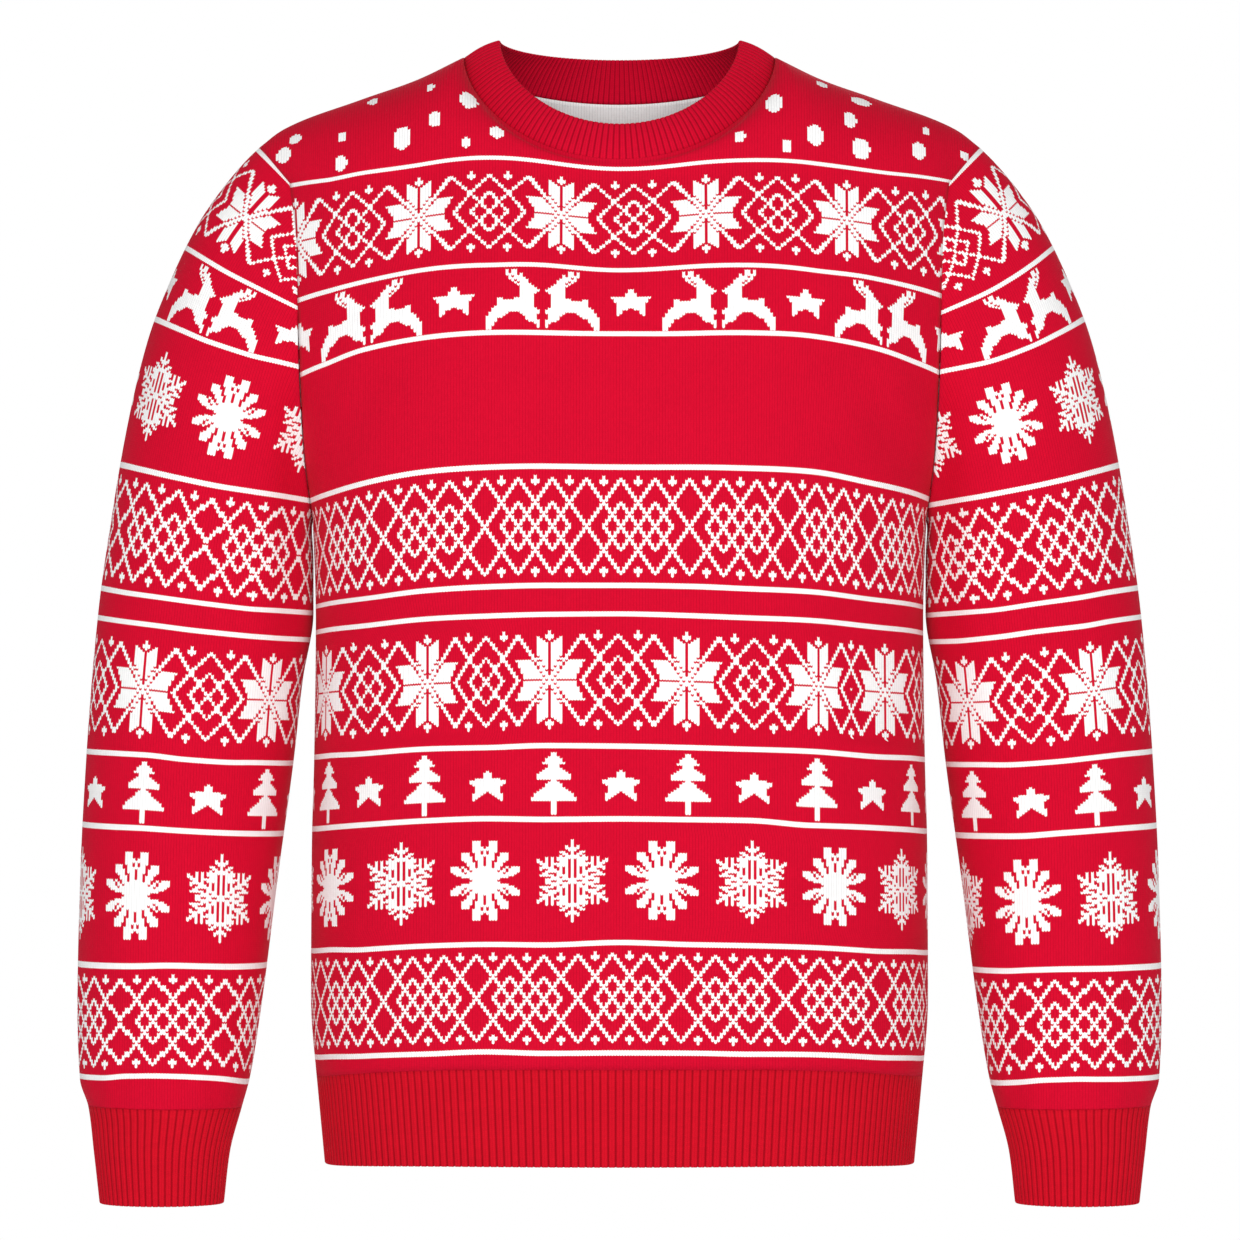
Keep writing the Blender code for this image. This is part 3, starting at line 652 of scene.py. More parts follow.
def sagged(stitches, place, places, sags, axis=1):
    """The same stitches, pulled down (axis 1) or sideways (0) by amounts across and rows up."""
    rows = column(sags, "row")
    amounts = np.array([sag.amounts for sag in sags])
    pulled = stitches.copy()
    for index, (up, across) in enumerate(zip(stitches[..., 1], place)):
        by_row = np.array([[np.interp(row, rows, line) for line in amounts.T] for row in up])
        pulled[index, :, axis] += [through(places, line, at) for line, at in zip(by_row, across)]
    return pulled


def band_stitches(outer, ribs):
    """Ribs across and rows up of a ribbed band, with the first column again at the end."""
    rings, count = outer.shape[:2]
    stitches = np.zeros((rings, count + 1, 2))
    stitches[..., 0] = np.linspace(0.0, ribs, count + 1)
    stitches[..., 1] = -(running(outer[:, 0]) / COURSE)[:, None]
    return stitches


# ------------------------------------------------------------------ meshes
MAIN_SHARE = 0.96             # share of the bake map's height that both faces take
PANEL_SHARE = 0.74            # and that the outer face takes, on panels and on bands
BAND_SHARE = 0.62


def resampled(grid, count):
    """A closed grid with another number of columns, evenly spread over the old ones."""
    old = grid.shape[1]
    place = np.arange(count) * old / count
    low = place.astype(int)
    part = (place - low)[None, :, None]
    return (1.0 - part) * grid[:, low] + part * grid[:, (low + 1) % old]


def cloth_piece(name, sheets, closed, stitches, outer_share, materials):
    """A closed skin of cloth, with one material outside and another inside.

    sheets are grids of points that follow each other: the outer face down to its last row, any
    rows of a rolled edge, and the inner face back up again. stitches match all their rows.
    outer_share is the share of the bake map's height that the outer face takes.
    """
    grid = np.vstack(sheets)
    rows, columns = grid.shape[:2]
    outer_rows = sheets[0].shape[0]
    numbers = np.arange(rows * columns).reshape(rows, columns)
    beside = np.roll(numbers, -1, axis=1) if closed else numbers[:, 1:]
    here = numbers if closed else numbers[:, :-1]
    strips = here.shape[1]
    across = np.linspace(0.0, 1.0, strips + 1)
    down = np.concatenate([np.linspace(0.0, outer_share, outer_rows),
                           np.linspace(outer_share, MAIN_SHARE, rows - outer_rows + 1)[1:]])
    bake = np.stack(np.meshgrid(across, down), axis=-1)

    def corners(low, high):
        return np.stack([low[:-1], low[1:], high[1:], high[:-1]], axis=1)

    faces = [np.stack([here[:-1], beside[:-1], beside[1:], here[1:]], axis=-1).reshape(-1, 4),
             np.stack([here[-1], beside[-1], beside[0], here[0]], axis=-1)]
    maps = {}
    for label, values in (("Stitches", stitches), ("OFBake", bake)):
        maps[label] = [np.vstack([corners(low, high) for low, high in zip(values, values[1:])])]
    maps["Stitches"].append(corners(stitches[-1], stitches[0]))
    maps["OFBake"].append(corners(*strip_map(strips, 0)))
    if not closed:
        half = rows // 2
        for order, side in enumerate((0, columns - 1)):
            edge, behind = numbers[:half, side], numbers[::-1, side][:half]
            faces.append(corners(edge, behind))
            maps["Stitches"].append(corners(stitches[:half, side], stitches[:half, side]))
            maps["OFBake"].append(corners(*strip_map(half - 1, order + 1)))
    mesh = bpy.data.meshes.new(name)
    mesh.from_pydata(grid.reshape(-1, 3).tolist(), [], np.vstack(faces).tolist())
    for label, parts in maps.items():
        layer = mesh.uv_layers.new(name=label)
        layer.data.foreach_set("uv", np.vstack(parts).astype(np.float32).ravel())
    inside = np.zeros(len(mesh.polygons), dtype=np.int32)
    inside[outer_rows * strips:(rows - 1) * strips] = 1
    mesh.polygons.foreach_set("material_index", inside)
    for material in materials:
        mesh.materials.append(material)
    shape = bmesh.new()
    shape.from_mesh(mesh)
    bmesh.ops.recalc_face_normals(shape, faces=shape.faces)
    shape.to_mesh(mesh)
    shape.free()
    mesh.shade_smooth()
    piece = bpy.data.objects.new(name, mesh)
    bpy.context.scene.collection.objects.link(piece)
    return piece


def strip_map(length, order):
    """Two edges of a narrow strip of the bake map, above the sheets' own share of it."""
    along = np.linspace(0.0, 1.0, length + 1)
    low = MAIN_SHARE + (order + 0.25) * (1.0 - MAIN_SHARE) / 3.0
    high = MAIN_SHARE + (order + 0.75) * (1.0 - MAIN_SHARE) / 3.0
    return [np.stack([along, np.full(length + 1, height)], axis=-1) for height in (low, high)]


def plain_piece(name, outer, normal, closed, stitches, materials):
    """A patterned panel or sleeve: a wall of cloth with square edges."""
    inner = outer - WALL * normal
    return cloth_piece(name, [outer, inner[::-1]], closed, np.vstack([stitches, stitches[::-1]]),
                       PANEL_SHARE, materials)


def ribbed_piece(name, outer, normal, ribs, relief, material):
    """A ribbed band whose last row is rolled over to its inner face."""
    count = ribs * RIB_STEPS
    outer, normal = resampled(outer, count), unit(resampled(normal, count))
    stitches = band_stitches(outer, ribs)
    groove = 1.0 - np.sqrt(np.abs(np.sin(math.pi * np.arange(count) / RIB_STEPS)))
    begun = eased(running(outer[:, 0]) / RIB_FADE)[:, None, None]
    between = np.roll(groove, RIB_STEPS // 2)
    inner = outer - (WALL - RIB_INSIDE * relief * begun * between[:, None]) * normal
    outer = outer - relief * begun * groove[:, None] * normal
    middle, half = (outer[-1] + inner[-1]) / 2.0, (outer[-1] - inner[-1]) / 2.0
    away = unit(outer[-1] - outer[-2]) * np.linalg.norm(half, axis=1)[:, None]
    turns = np.linspace(0.0, math.pi, ROLL_STEPS + 1)[1:-1]
    roll = np.array([middle + math.cos(turn) * half + math.sin(turn) * away for turn in turns])
    rolled = np.repeat(stitches[-1:], len(turns), axis=0)
    rolled[..., 1] -= np.arange(1, len(turns) + 1)[:, None]
    return cloth_piece(name, [outer, roll, inner[::-1]], True,
                       np.vstack([stitches, rolled, stitches[::-1]]), BAND_SHARE, [material] * 2)


# ------------------------------------------------------------------ charts on squared paper
# A chart is half of a repeat that mirrors at both ends. A square is one stitch across and one row
# up, and a chart has at most CHART_LINES lines and CHART_COLUMNS columns.
CHART_LINES = 32
CHART_COLUMNS = 72
BITS = 24                     # squares that one colour channel holds
SPAN = namedtuple("Span", "star upper_star lattice reindeer trees flakes")(
    24, 25.5, 18, 31, 23.5, 31)
UPPER_STAR_HEIGHT = 0.92      # height of the upper stars over the lower ones


class Chart:
    """Squares that are knitted in white, drawn with lines and shapes in stitches and rows."""

    def __init__(self, span, lines, first_column=0.0, first_line=0.0, square=(1.0, 1.0)):
        self.across, self.up = np.meshgrid(
            (np.arange(int(span) + 1.0) + first_column) * square[0],
            (np.arange(float(lines)) + first_line) * square[1])
        self.white = np.zeros(self.across.shape, dtype=bool)

    def fill(self, area, white=True):
        self.white = self.white | area if white else self.white & ~area

    def shape(self, corners, white=True):
        """Everything inside a ring of corners."""
        inside = np.zeros(self.white.shape, dtype=bool)
        for (x, y), (next_x, next_y) in zip(corners, corners[1:] + corners[:1]):
            if y == next_y:
                continue
            crossed = (y > self.up) != (next_y > self.up)
            at = x + (self.up - y) * (next_x - x) / (next_y - y)
            inside ^= crossed & (self.across < at)
        self.fill(inside, white)

    def line(self, start, end, width):
        """A line with blunt ends."""
        x, y = self.across - start[0], self.up - start[1]
        run, rise = end[0] - start[0], end[1] - start[1]
        length = math.hypot(run, rise)
        along = (x * run + y * rise) / length
        aside = np.abs(x * rise - y * run) / length
        self.fill((aside <= width / 2.0) & (along >= -0.5) & (along <= length + 0.5))

    def slit(self, across, start, end):
        """Squares of one column that stay red."""
        self.fill((self.across == across) & (self.up >= start) & (self.up <= end), white=False)

    def slant(self, start, end, thick=0.7):
        """A slanting line that is so many stitches thick on each side in every row."""
        low, high = sorted((start, end), key=lambda point: point[1])
        at = low[0] + (self.up - low[1]) * (high[0] - low[0]) / (high[1] - low[1])
        within = (self.up >= low[1] - 0.5) & (self.up <= high[1] + 0.5)
        self.fill(within & (np.abs(self.across - at) <= thick))

    def plus(self, x, y):
        """A small four-pointed star."""
        away_x, away_y = np.abs(self.across - x), self.up - y
        bar = (away_x < 1.5) & (away_y > -1.2) & (away_y < 0.5)
        self.fill((away_x < 0.5) & (np.abs(away_y) < 3.0) | bar)

    def half_star(self, x, y, tall=1.0):
        """The left half of a five-pointed star that stands on the point x, y."""
        outline = [(0.5, 16.4), (-0.7, 15.0), (-1.6, 12.6), (-2.7, 11.2), (-7.0, 10.9), (-6.9, 9.9),
                   (-4.4, 6.6), (-5.4, 2.4), (-5.3, 0.0), (-4.3, 0.0), (-2.3, 2.9), (0.5, 4.4)]
        self.shape([(x + across, y + tall * up) for across, up in outline])


def star_chart(span, tall):
    """An eight-pointed star, and half of the crossed diamonds between it and the next one."""
    chart = Chart(span, 27)
    crossing, vertex, top = (span - 6.7, 11.7 * tall), (span - 12.7, 0.0), 23.0 * tall
    peak = (11.5, top)
    chart.slant(peak, crossing)
    chart.slant(crossing, vertex)
    chart.slant(crossing, (span, top))
    chart.slant(crossing, (span, 0.0))
    chart.slant((span, 12.4 * tall), (span - 6.5, 0.0))
    chart.shape([(-1.0, -1.0), (9.2, -1.0), (12.9, 10.9 * tall), (5.6, 12.0 * tall), (5.6, 24.0),
                 (-1.0, 24.0)], white=False)
    chart.shape([(-0.5, 18.0 * tall), (4.6, 23.2 * tall), (4.6, 11.5 * tall), (0.0, 0.0)])
    chart.shape([(0.8, -0.5), (8.6, -0.5), (12.4, 10.3 * tall), (6.4, 10.3 * tall)])
    chart.slant((0.0, 0.0), peak, 0.9)
    chart.fill((chart.across < 0.5) & (chart.up > 2.5) & (chart.up < 18.6 * tall), white=False)
    chart.fill((chart.up < 0.5) & (chart.across > 2.5) & (chart.across < 8.9), white=False)
    for stitch in range(1, 5):
        for across, row in ((stitch, 2.2 * stitch + 3.0), (stitch + 1, 2.2 * stitch)):
            dot = (np.abs(chart.across - across) < 0.5) & (np.abs(chart.up - row * tall) < 0.51)
            chart.fill(dot, white=False)
    for across in (0.0, span - 6.7):
        chart.plus(round(across), round(23.0 * tall))
    return chart.white


def lattice_chart():
    """Diamonds of two sizes, hatched where they meet, with small stars above and below."""
    chart = Chart(SPAN.lattice, 28)
    wide, tall = 3.0, 6.0

    def slant(start, end):
        chart.slant((start[0] * wide, start[1] * tall), (end[0] * wide, end[1] * tall))

    for foot in range(-10, 11, 4):
        slant((foot, 0.0), (foot + 4.0, 4.0))
        slant((foot, 0.0), (foot - 4.0, 4.0))
    for side in (-1.0, 1.0):
        slant((0.0, 0.0), (side * 2.0, 2.0))
        slant((side * 4.0, 0.0), (side * 2.0, 2.0))
    for across in (0.0, 4.0):
        chart.plus(across * wide, 23.0)
    return chart.white


def reindeer_chart():
    """A leaping reindeer that meets its mirror image nose to nose, and a star."""
    chart = Chart(SPAN.reindeer, 32, first_column=0.5, first_line=1.0)
    chart.shape([
        (1.2, 21.2), (2.1, 19.4), (3.5, 19.0), (3.3, 12.5), (1.6, 11.8), (1.2, 10.4), (2.0, 9.2),
        (2.1, 7.2), (1.1, 5.4), (1.1, 2.7), (2.1, 2.7), (2.6, 4.4), (3.8, 5.4), (4.9, 6.3),
        (6.2, 7.5), (6.9, 9.2), (7.7, 10.2), (9.9, 10.8), (11.6, 10.5), (13.3, 9.1), (13.8, 8.0),
        (15.8, 6.9), (16.5, 5.1), (17.6, 3.8), (18.2, 1.5), (20.1, 1.5), (20.5, 4.7), (20.3, 7.1),
        (18.9, 9.5), (18.1, 11.5), (16.7, 13.1), (15.9, 13.9), (15.6, 15.4), (15.9, 17.6),
        (14.5, 17.6), (14.2, 16.5), (11.6, 16.7), (9.5, 17.2), (8.3, 18.0), (7.8, 19.5),
        (7.5, 21.1), (7.7, 23.0), (9.4, 23.9), (10.1, 25.4), (11.7, 26.2), (12.4, 28.0),
        (13.4, 28.9), (13.4, 31.2), (11.6, 31.2), (11.4, 28.6), (10.5, 28.2), (10.6, 31.2),
        (8.7, 31.2), (8.6, 28.1), (8.2, 29.5), (6.6, 29.5), (6.6, 27.2), (5.5, 26.4), (4.7, 24.8),
        (3.4, 23.3), (2.0, 21.8)])
    for across, up in ((9.5, 26.0), (8.5, 25.0), (10.5, 28.0)):
        chart.slit(across, up, up)
    chart.half_star(31.0, 9.8, 0.89)
    return chart.white


def trees_chart():
    """A fir tree and a star. The lowest line is the trunk's, and goes on down."""
    chart = Chart(SPAN.trees, 27, first_column=0.5, first_line=9.0)
    chart.shape([(-1.0, 0.0), (1.2, 0.0), (1.2, 9.9), (8.0, 9.9), (7.7, 11.6), (5.8, 14.0),
                 (3.4, 17.0), (1.4, 19.4), (1.4, 20.4), (6.6, 20.4), (6.2, 22.4), (4.2, 24.6),
                 (1.6, 28.0), (1.6, 28.6), (3.6, 28.9), (3.2, 30.6), (1.3, 33.0), (0.6, 34.6),
                 (-1.0, 34.6)])
    chart.half_star(23.5, 9.9)
    return chart.white


def flakes_chart():
    """A round flake of twelve petals, and a flake of six feathered arms."""
    chart = Chart(SPAN.flakes, 23)
    chart.shape([(-0.5, -0.5), (3.2, -0.5), (5.6, 0.9), (9.2, 2.4), (11.6, 3.6), (12.6, 4.6),
                 (12.6, 6.6), (11.4, 7.7), (8.6, 7.7), (6.6, 6.4), (5.2, 4.9), (6.6, 8.0),
                 (8.6, 11.6), (9.1, 13.4), (8.2, 14.9), (6.2, 14.9), (4.9, 12.6), (2.9, 6.6),
                 (3.6, 10.5), (4.0, 14.5), (4.4, 19.5), (3.6, 20.6), (1.2, 20.6), (1.2, 17.4),
                 (0.6, 16.4), (-0.5, 16.4)])
    for across, start, end in ((0.0, 8.0, 12.0), (3.0, 8.0, 10.0), (1.0, 14.0, 15.0),
                               (5.0, 5.0, 5.0), (6.0, 7.0, 7.0), (7.0, 9.0, 9.0), (7.0, 4.0, 4.0),
                               (8.0, 5.0, 6.0), (9.0, 7.0, 8.0)):
        chart.slit(across, start, end)

    middle, stitch, row = float(SPAN.flakes), 1000.0 * WALE, 1000.0 * COURSE
    feathers = Chart(SPAN.flakes, 23, square=(stitch, row))
    for degrees in (90.0, 150.0, 210.0):
        turn = math.radians(degrees)
        for along, length in ((0.0, 24.6), (4.5, 12.8), (8.3, 10.8), (13.8, 7.6), (18.8, 4.4)):
            for lean in ((0.0,) if along == 0.0 else (-60.0, 60.0)):
                bend = turn + math.radians(lean)
                start = np.array([middle * stitch + along * math.cos(turn),
                                  along * math.sin(turn)])
                end = start + length * np.array([math.cos(bend), math.sin(bend)])
                feathers.line(tuple(start), tuple(end), 1.9)
    chart.fill(feathers.white)
    chart.shape([(middle - 1.5, 3.0), (middle - 1.6, 10.0), (middle - 3.6, 13.6),
                 (middle - 4.7, 13.6), (middle - 4.7, 3.0)])
    for aside, start, end in ((1.0, 2.0, 10.0), (3.0, 4.0, 7.0)):
        chart.slit(middle - aside, start, end)
    return chart.white


# ------------------------------------------------------------------ shader nodes
LEG_RISE = 0.6                # rows that the legs of a stitch's V rise
STRIPE_RISE = 0.4             # and how far they do along the edges of a stripe
LEG_HEIGHT = 0.45             # shares of a stitch's height in its two legs, its whole width and
STITCH_HEIGHT = 0.35          # the loop from row to row
LOOP_HEIGHT = 0.2


class Wiring:
    """Adds shader nodes to a tree and links them; an input is a number or another's output."""

    def __init__(self, tree):
        self.tree = tree

    def node(self, kind, operation=None, **inputs):
        node = self.tree.nodes.new(kind)
        if operation:
            node.operation = operation
        for name, value in inputs.items():
            self.feed(node.inputs[name.replace("_", " ")], value)
        return node

    def feed(self, socket, value):
        if isinstance(value, bpy.types.NodeSocket):
            self.tree.links.new(value, socket)
        else:
            socket.default_value = value

    def math(self, operation, *values, clamp=False):
        node = self.node("ShaderNodeMath", operation)
        node.use_clamp = clamp
        for socket, value in zip(node.inputs, values):
            self.feed(socket, value)
        return node.outputs["Value"]

    def vector(self, operation, *values, scale=None):
        node = self.node("ShaderNodeVectorMath", operation)
        for socket, value in zip(node.inputs, values):
            self.feed(socket, value)
        if scale is not None:
            self.feed(node.inputs["Scale"], scale)
        value_out = operation in ("DOT_PRODUCT", "LENGTH", "DISTANCE")
        return node.outputs["Value" if value_out else "Vector"]

    def group(self, group, **inputs):
        node = self.node("ShaderNodeGroup")
        node.node_tree = group
        for name, value in inputs.items():
            self.feed(node.inputs[name.replace("_", " ")], value)
        return node.outputs

    def mix(self, factor, first, second):
        node = self.node("ShaderNodeMix")
        node.data_type = "RGBA"
        self.feed(node.inputs["Factor"], factor)
        self.feed(node.inputs[6], first)
        self.feed(node.inputs[7], second)
        return node.outputs[2]


def new_group(name, inputs, outputs):
    """An empty node group, its wiring, its input sockets and its output node."""
    group = bpy.data.node_groups.new(name, "ShaderNodeTree")
    for direction, sockets in (("INPUT", inputs), ("OUTPUT", outputs)):
        for label, kind in sockets.items():
            group.interface.new_socket(label, in_out=direction, socket_type="NodeSocket" + kind)
    wiring = Wiring(group)
    return (group, wiring, wiring.node("NodeGroupInput").outputs,
            wiring.node("NodeGroupOutput").inputs)


def chart_group(name, white):
    """Reads one square of a chart: 1 where it is white.

    Each stop of the ramp holds a line of the chart, as whole numbers whose bits are its squares.
    """
    group, add, given, out = new_group(name, {"Column": "Float", "Line": "Float"},
                                       {"White": "Float"})
    squares = np.zeros((CHART_LINES, CHART_COLUMNS))
    squares[:white.shape[0], :white.shape[1]] = white
    worth = 2.0 ** np.arange(BITS)
    numbers = squares.reshape(CHART_LINES, 3, BITS) @ worth
    ramp = add.node("ShaderNodeValToRGB")
    ramp.color_ramp.interpolation = "CONSTANT"
    stops = ramp.color_ramp.elements
    while len(stops) < CHART_LINES:
        stops.new(0.5)
    for line in range(CHART_LINES):
        stops[line].position = line / CHART_LINES
    for line in range(CHART_LINES):
        stops[line].color = (*numbers[line], 1.0)
    half_up = add.math("ADD", given["Line"], 0.5)
    add.feed(ramp.inputs["Fac"], add.math("DIVIDE", half_up, float(CHART_LINES)))
    square = add.math("FLOOR", add.math("ADD", given["Column"], 0.25))
    shift = add.math("POWER", 2.0, add.math("MULTIPLY", square, -1.0))
    placed = add.vector("MULTIPLY", ramp.outputs["Color"], (1.0, 2.0 ** BITS, 4.0 ** BITS))
    shifted = add.vector("FLOOR", add.vector("SCALE", placed, scale=shift))
    bit = add.vector("MODULO", shifted, (2.0, 2.0, 2.0))
    add.feed(out["White"], add.vector("DOT_PRODUCT", bit, (1.0, 1.0, 1.0)))
    return group


def stitch_group():
    """Which stitch and row a point is in, and where it is in the stitch's V."""
    group, add, given, out = new_group(
        "stitch", {"Stitches": "Vector"},
        {"Wale": "Float", "Row": "Float", "Level": "Float", "Cell": "Vector", "Relief": "Float"})
    place = add.node("ShaderNodeSeparateXYZ", Vector=given["Stitches"]).outputs
    across = add.math("FRACT", place["X"])
    leg = add.math("ABSOLUTE", add.math("MULTIPLY_ADD", across, 2.0, -1.0))
    lifted = add.math("ADD", add.math("MULTIPLY", leg, -LEG_RISE),
                      add.math("ADD", place["Y"], LEG_RISE / 2.0))
    wale = add.math("ADD", add.math("FLOOR", place["X"]), 0.5)
    row = add.math("ADD", add.math("FLOOR", lifted), 0.5)
    add.feed(out["Wale"], wale)
    add.feed(out["Row"], row)
    from_half = add.math("SUBTRACT", 0.5, leg)
    add.feed(out["Level"], add.math("MULTIPLY_ADD", from_half, STRIPE_RISE, place["Y"]))
    cell = add.node("ShaderNodeCombineXYZ", X=wale, Y=row)
    add.feed(out["Cell"], cell.outputs["Vector"])
    legs = add.math("ABSOLUTE", add.math("SINE", add.math("MULTIPLY", across, 2.0 * math.pi)))
    whole_width = add.math("SINE", add.math("MULTIPLY", across, math.pi))
    loop = add.math("SINE", add.math("MULTIPLY", add.math("FRACT", lifted), math.pi))
    strand = add.math("ADD", add.math("MULTIPLY", legs, LEG_HEIGHT),
                      add.math("MULTIPLY", whole_width, STITCH_HEIGHT))
    add.feed(out["Relief"], add.math("MULTIPLY_ADD", loop, LOOP_HEIGHT, strand))
    return group


# Rows that the patterned bands are centred on, or for the reindeer and trees, that they stand on.
BandRow = namedtuple("BandRow", "lower_star upper_star lower_lattice upper_lattice lower_flakes "
                                "upper_flakes reindeer trees")
BANDS = BandRow(206.5, 450.5, 39.5, 286.5, 102.5, 351.5, 386.5, 143.5)
TRUNK_FOOT = 137.0            # row that the trees' trunks stand on
LOWER_HALF = 228.0            # rows below this one are in the lower bands
ROWS_IN_ALL = 512.0           # rows that the stripes are looked up in
STITCHES_MISSED = 14.0        # left out past the cut, where the last lower star is knitted closer


def stripes(add, level):
    """1 on the white stripes, by the height in rows."""
    ramp = add.node("ShaderNodeValToRGB")
    ramp.color_ramp.interpolation = "CONSTANT"
    stops, knitted = ramp.color_ramp.elements, BODY_STRIPES[1:]
    while len(stops) < len(knitted):
        stops.new(0.5)
    for stop, stripe, below in zip(stops, knitted, BODY_STRIPES):
        stop.position = (stripe.row + below.row) / 2.0 / ROWS_IN_ALL if below.row else 0.0
    for stop, stripe in zip(stops, knitted):
        stop.color = (stripe.row, stripe.thick / 2.0, 0.0, 1.0)
    add.feed(ramp.inputs["Fac"], add.math("DIVIDE", level, ROWS_IN_ALL))
    nearest = add.node("ShaderNodeSeparateXYZ", Vector=ramp.outputs["Color"]).outputs
    away = add.math("ABSOLUTE", add.math("SUBTRACT", level, nearest["X"]))
    return add.math("LESS_THAN", away, nearest["Y"])


def jacquard_group(charts):
    """1 where the yarn that shows is white. Each input says which stitch its band mirrors at."""
    group, add, given, out = new_group(
        "jacquard", {"Wale": "Float", "Row": "Float", "Level": "Float",
                     "lattice stretch": "Float", "lower star cut": "Float",
                     **{name.replace("_", " "): "Float" for name in BANDS._fields}},
        {"White": "Float"})
    wale, row = given["Wale"], given["Row"]

    def chart(name, middle, span, line, stretch=1.0, at=wale):
        away = add.math("DIVIDE", add.math("SUBTRACT", at, middle), stretch)
        column = add.math("PINGPONG", away, float(span))
        return add.group(charts[name], Column=column, Line=line)["White"]

    def from_middle(middle_row):
        return add.math("ABSOLUTE", add.math("SUBTRACT", row, middle_row))

    upper = add.math("GREATER_THAN", row, LOWER_HALF)

    def either(low, high):
        return add.math("ADD", low, add.math("MULTIPLY", upper, add.math("SUBTRACT", high, low)))

    lattice_middle = either(given["lower lattice"], given["upper lattice"])
    flakes_middle = either(given["lower flakes"], given["upper flakes"])
    lattice_row = either(BANDS.lower_lattice, BANDS.upper_lattice)
    flakes_row = either(BANDS.lower_flakes, BANDS.upper_flakes)
    flakes = chart("flakes", flakes_middle, SPAN.flakes, from_middle(flakes_row))
    knitted = add.math("GREATER_THAN", flakes_middle, NO_BAND / 2.0)
    trees = chart("trees", given["trees"], SPAN.trees, add.math("SUBTRACT", row, BANDS.trees))
    past_cut = add.math("GREATER_THAN", wale, given["lower star cut"])
    star_wale = add.math("MULTIPLY_ADD", past_cut, STITCHES_MISSED, wale)
    parts = [
        stripes(add, given["Level"]),
        add.math("MULTIPLY", flakes, knitted),
        chart("lattice", lattice_middle, SPAN.lattice, from_middle(lattice_row),
              given["lattice stretch"]),
        chart("lower_star", given["lower star"], SPAN.star, from_middle(BANDS.lower_star),
              at=star_wale),
        chart("upper_star", given["upper star"], SPAN.upper_star, from_middle(BANDS.upper_star)),
        chart("reindeer", given["reindeer"], SPAN.reindeer,
              add.math("SUBTRACT", row, BANDS.reindeer)),
        add.math("MULTIPLY", trees, add.math("GREATER_THAN", row, TRUNK_FOOT)),
    ]
    total = parts[0]
    for part in parts[1:]:
        total = add.math("MAXIMUM", total, part)
    add.feed(out["White"], total)
    return group


# Balls of snow on the yoke: stitches from the middle, rows above the hem seam, and size in stitches.
Snow = namedtuple("Snow", "wale row wide tall")


def snow_group(balls):
    """1 inside a ball of snow on the yoke."""
    group, add, given, out = new_group("snow", {"Cell": "Vector"}, {"White": "Float"})
    total = None
    for ball in balls:
        away = add.vector("SUBTRACT", given["Cell"], (ball.wale, ball.row, 0.0))
        size = (2.0 / ball.wide, 2.0 / ball.tall, 0.0)
        near = add.math("LESS_THAN", add.vector("LENGTH", add.vector("MULTIPLY", away, size)), 1.0)
        total = near if total is None else add.math("MAXIMUM", total, near)
    add.feed(out["White"], total)
    return group


# ------------------------------------------------------------------ where the patterns lie
# The stitch, counted from the middle of the piece, that each band of pattern mirrors at, how much
# wider than charted the lattice is knitted, and where the lower stars' chart is cut.
Bands = namedtuple("Bands", BANDS._fields + ("lattice_stretch", "lower_star_cut"))
NO_BAND = -9999.0             # where a band isn't knitted
NO_CUT = 9999.0
FRONT_BANDS = Bands(-24.5, -20.5, 3.5, 6.5, 14.5, NO_BAND, -27.0, -23.0, 1.0, 89.0)
BACK_BANDS = FRONT_BANDS
LEFT_BANDS = Bands(8.5, 22.0, -2.5, 6.5, -19.5, -9.5, 9.0, 7.0, 1.08, NO_CUT)
RIGHT_BANDS = Bands(9.5, 17.0, -5.5, 11.5, 8.5, -7.5, 10.0, 7.0, 1.08, NO_CUT)

# How many rows lower than level the cloth hangs at places across a panel, from -X to +X in metres,
# and across a sleeve, from its inner line (0) to its outer line (1).
Sag = namedtuple("Sag", "row amounts")
PANEL_PLACES = (-0.178, -0.156, -0.119, -0.082, -0.046, 0.0, 0.043, 0.080, 0.117, 0.154, 0.180)
PANEL_SAGS = [
    Sag(9.5, (-0.6, 0.4, 0.7, -0.1, 0.7, 0.4, 0.6, 1.2, 1.0, 1.1, 0.0)),
    Sag(69.5, (0.1, 1.6, 1.2, 0.8, 1.1, -0.3, 0.9, 1.5, 2.0, 2.5, 1.1)),
    Sag(134.5, (0.7, 0.8, 0.3, -0.3, 0.2, -0.1, 0.3, 0.7, 2.8, 2.4, 1.8)),
    Sag(172.5, (0.3, 1.1, 0.4, 0.3, -0.7, -0.4, 0.4, 1.2, 1.6, 2.7, 1.5)),
    Sag(240.5, (0.8, 1.4, 0.3, -0.3, -1.0, -1.3, -0.3, 0.7, 1.1, 2.0, 1.2)),
    Sag(256.5, (2.4, 2.8, 1.3, 0.3, -0.2, -0.2, 0.3, 1.4, 1.9, 3.4, 2.7)),
    Sag(316.5, (2.3, 1.6, 0.6, 0.3, -0.1, 0.1, 0.4, 0.8, 0.6, 1.9, 1.4)),
    Sag(385.5, (1.5, 0.1, 0.0, 0.0, 0.0, -0.2, 0.3, 0.1, -0.7, -0.7, 0.2)),
    Sag(419.5, (1.0, 0.3, -0.3, 0.0, -1.1, 0.0, -0.3, 0.0, 0.1, -1.4, -1.3)),
    Sag(481.5, (1.4, -0.4, 0.8, 0.5, 0.0, 0.1, 0.8, 1.9, 0.5, -1.2, -1.4)),
    Sag(496.0, (0.0,) * 11),
]
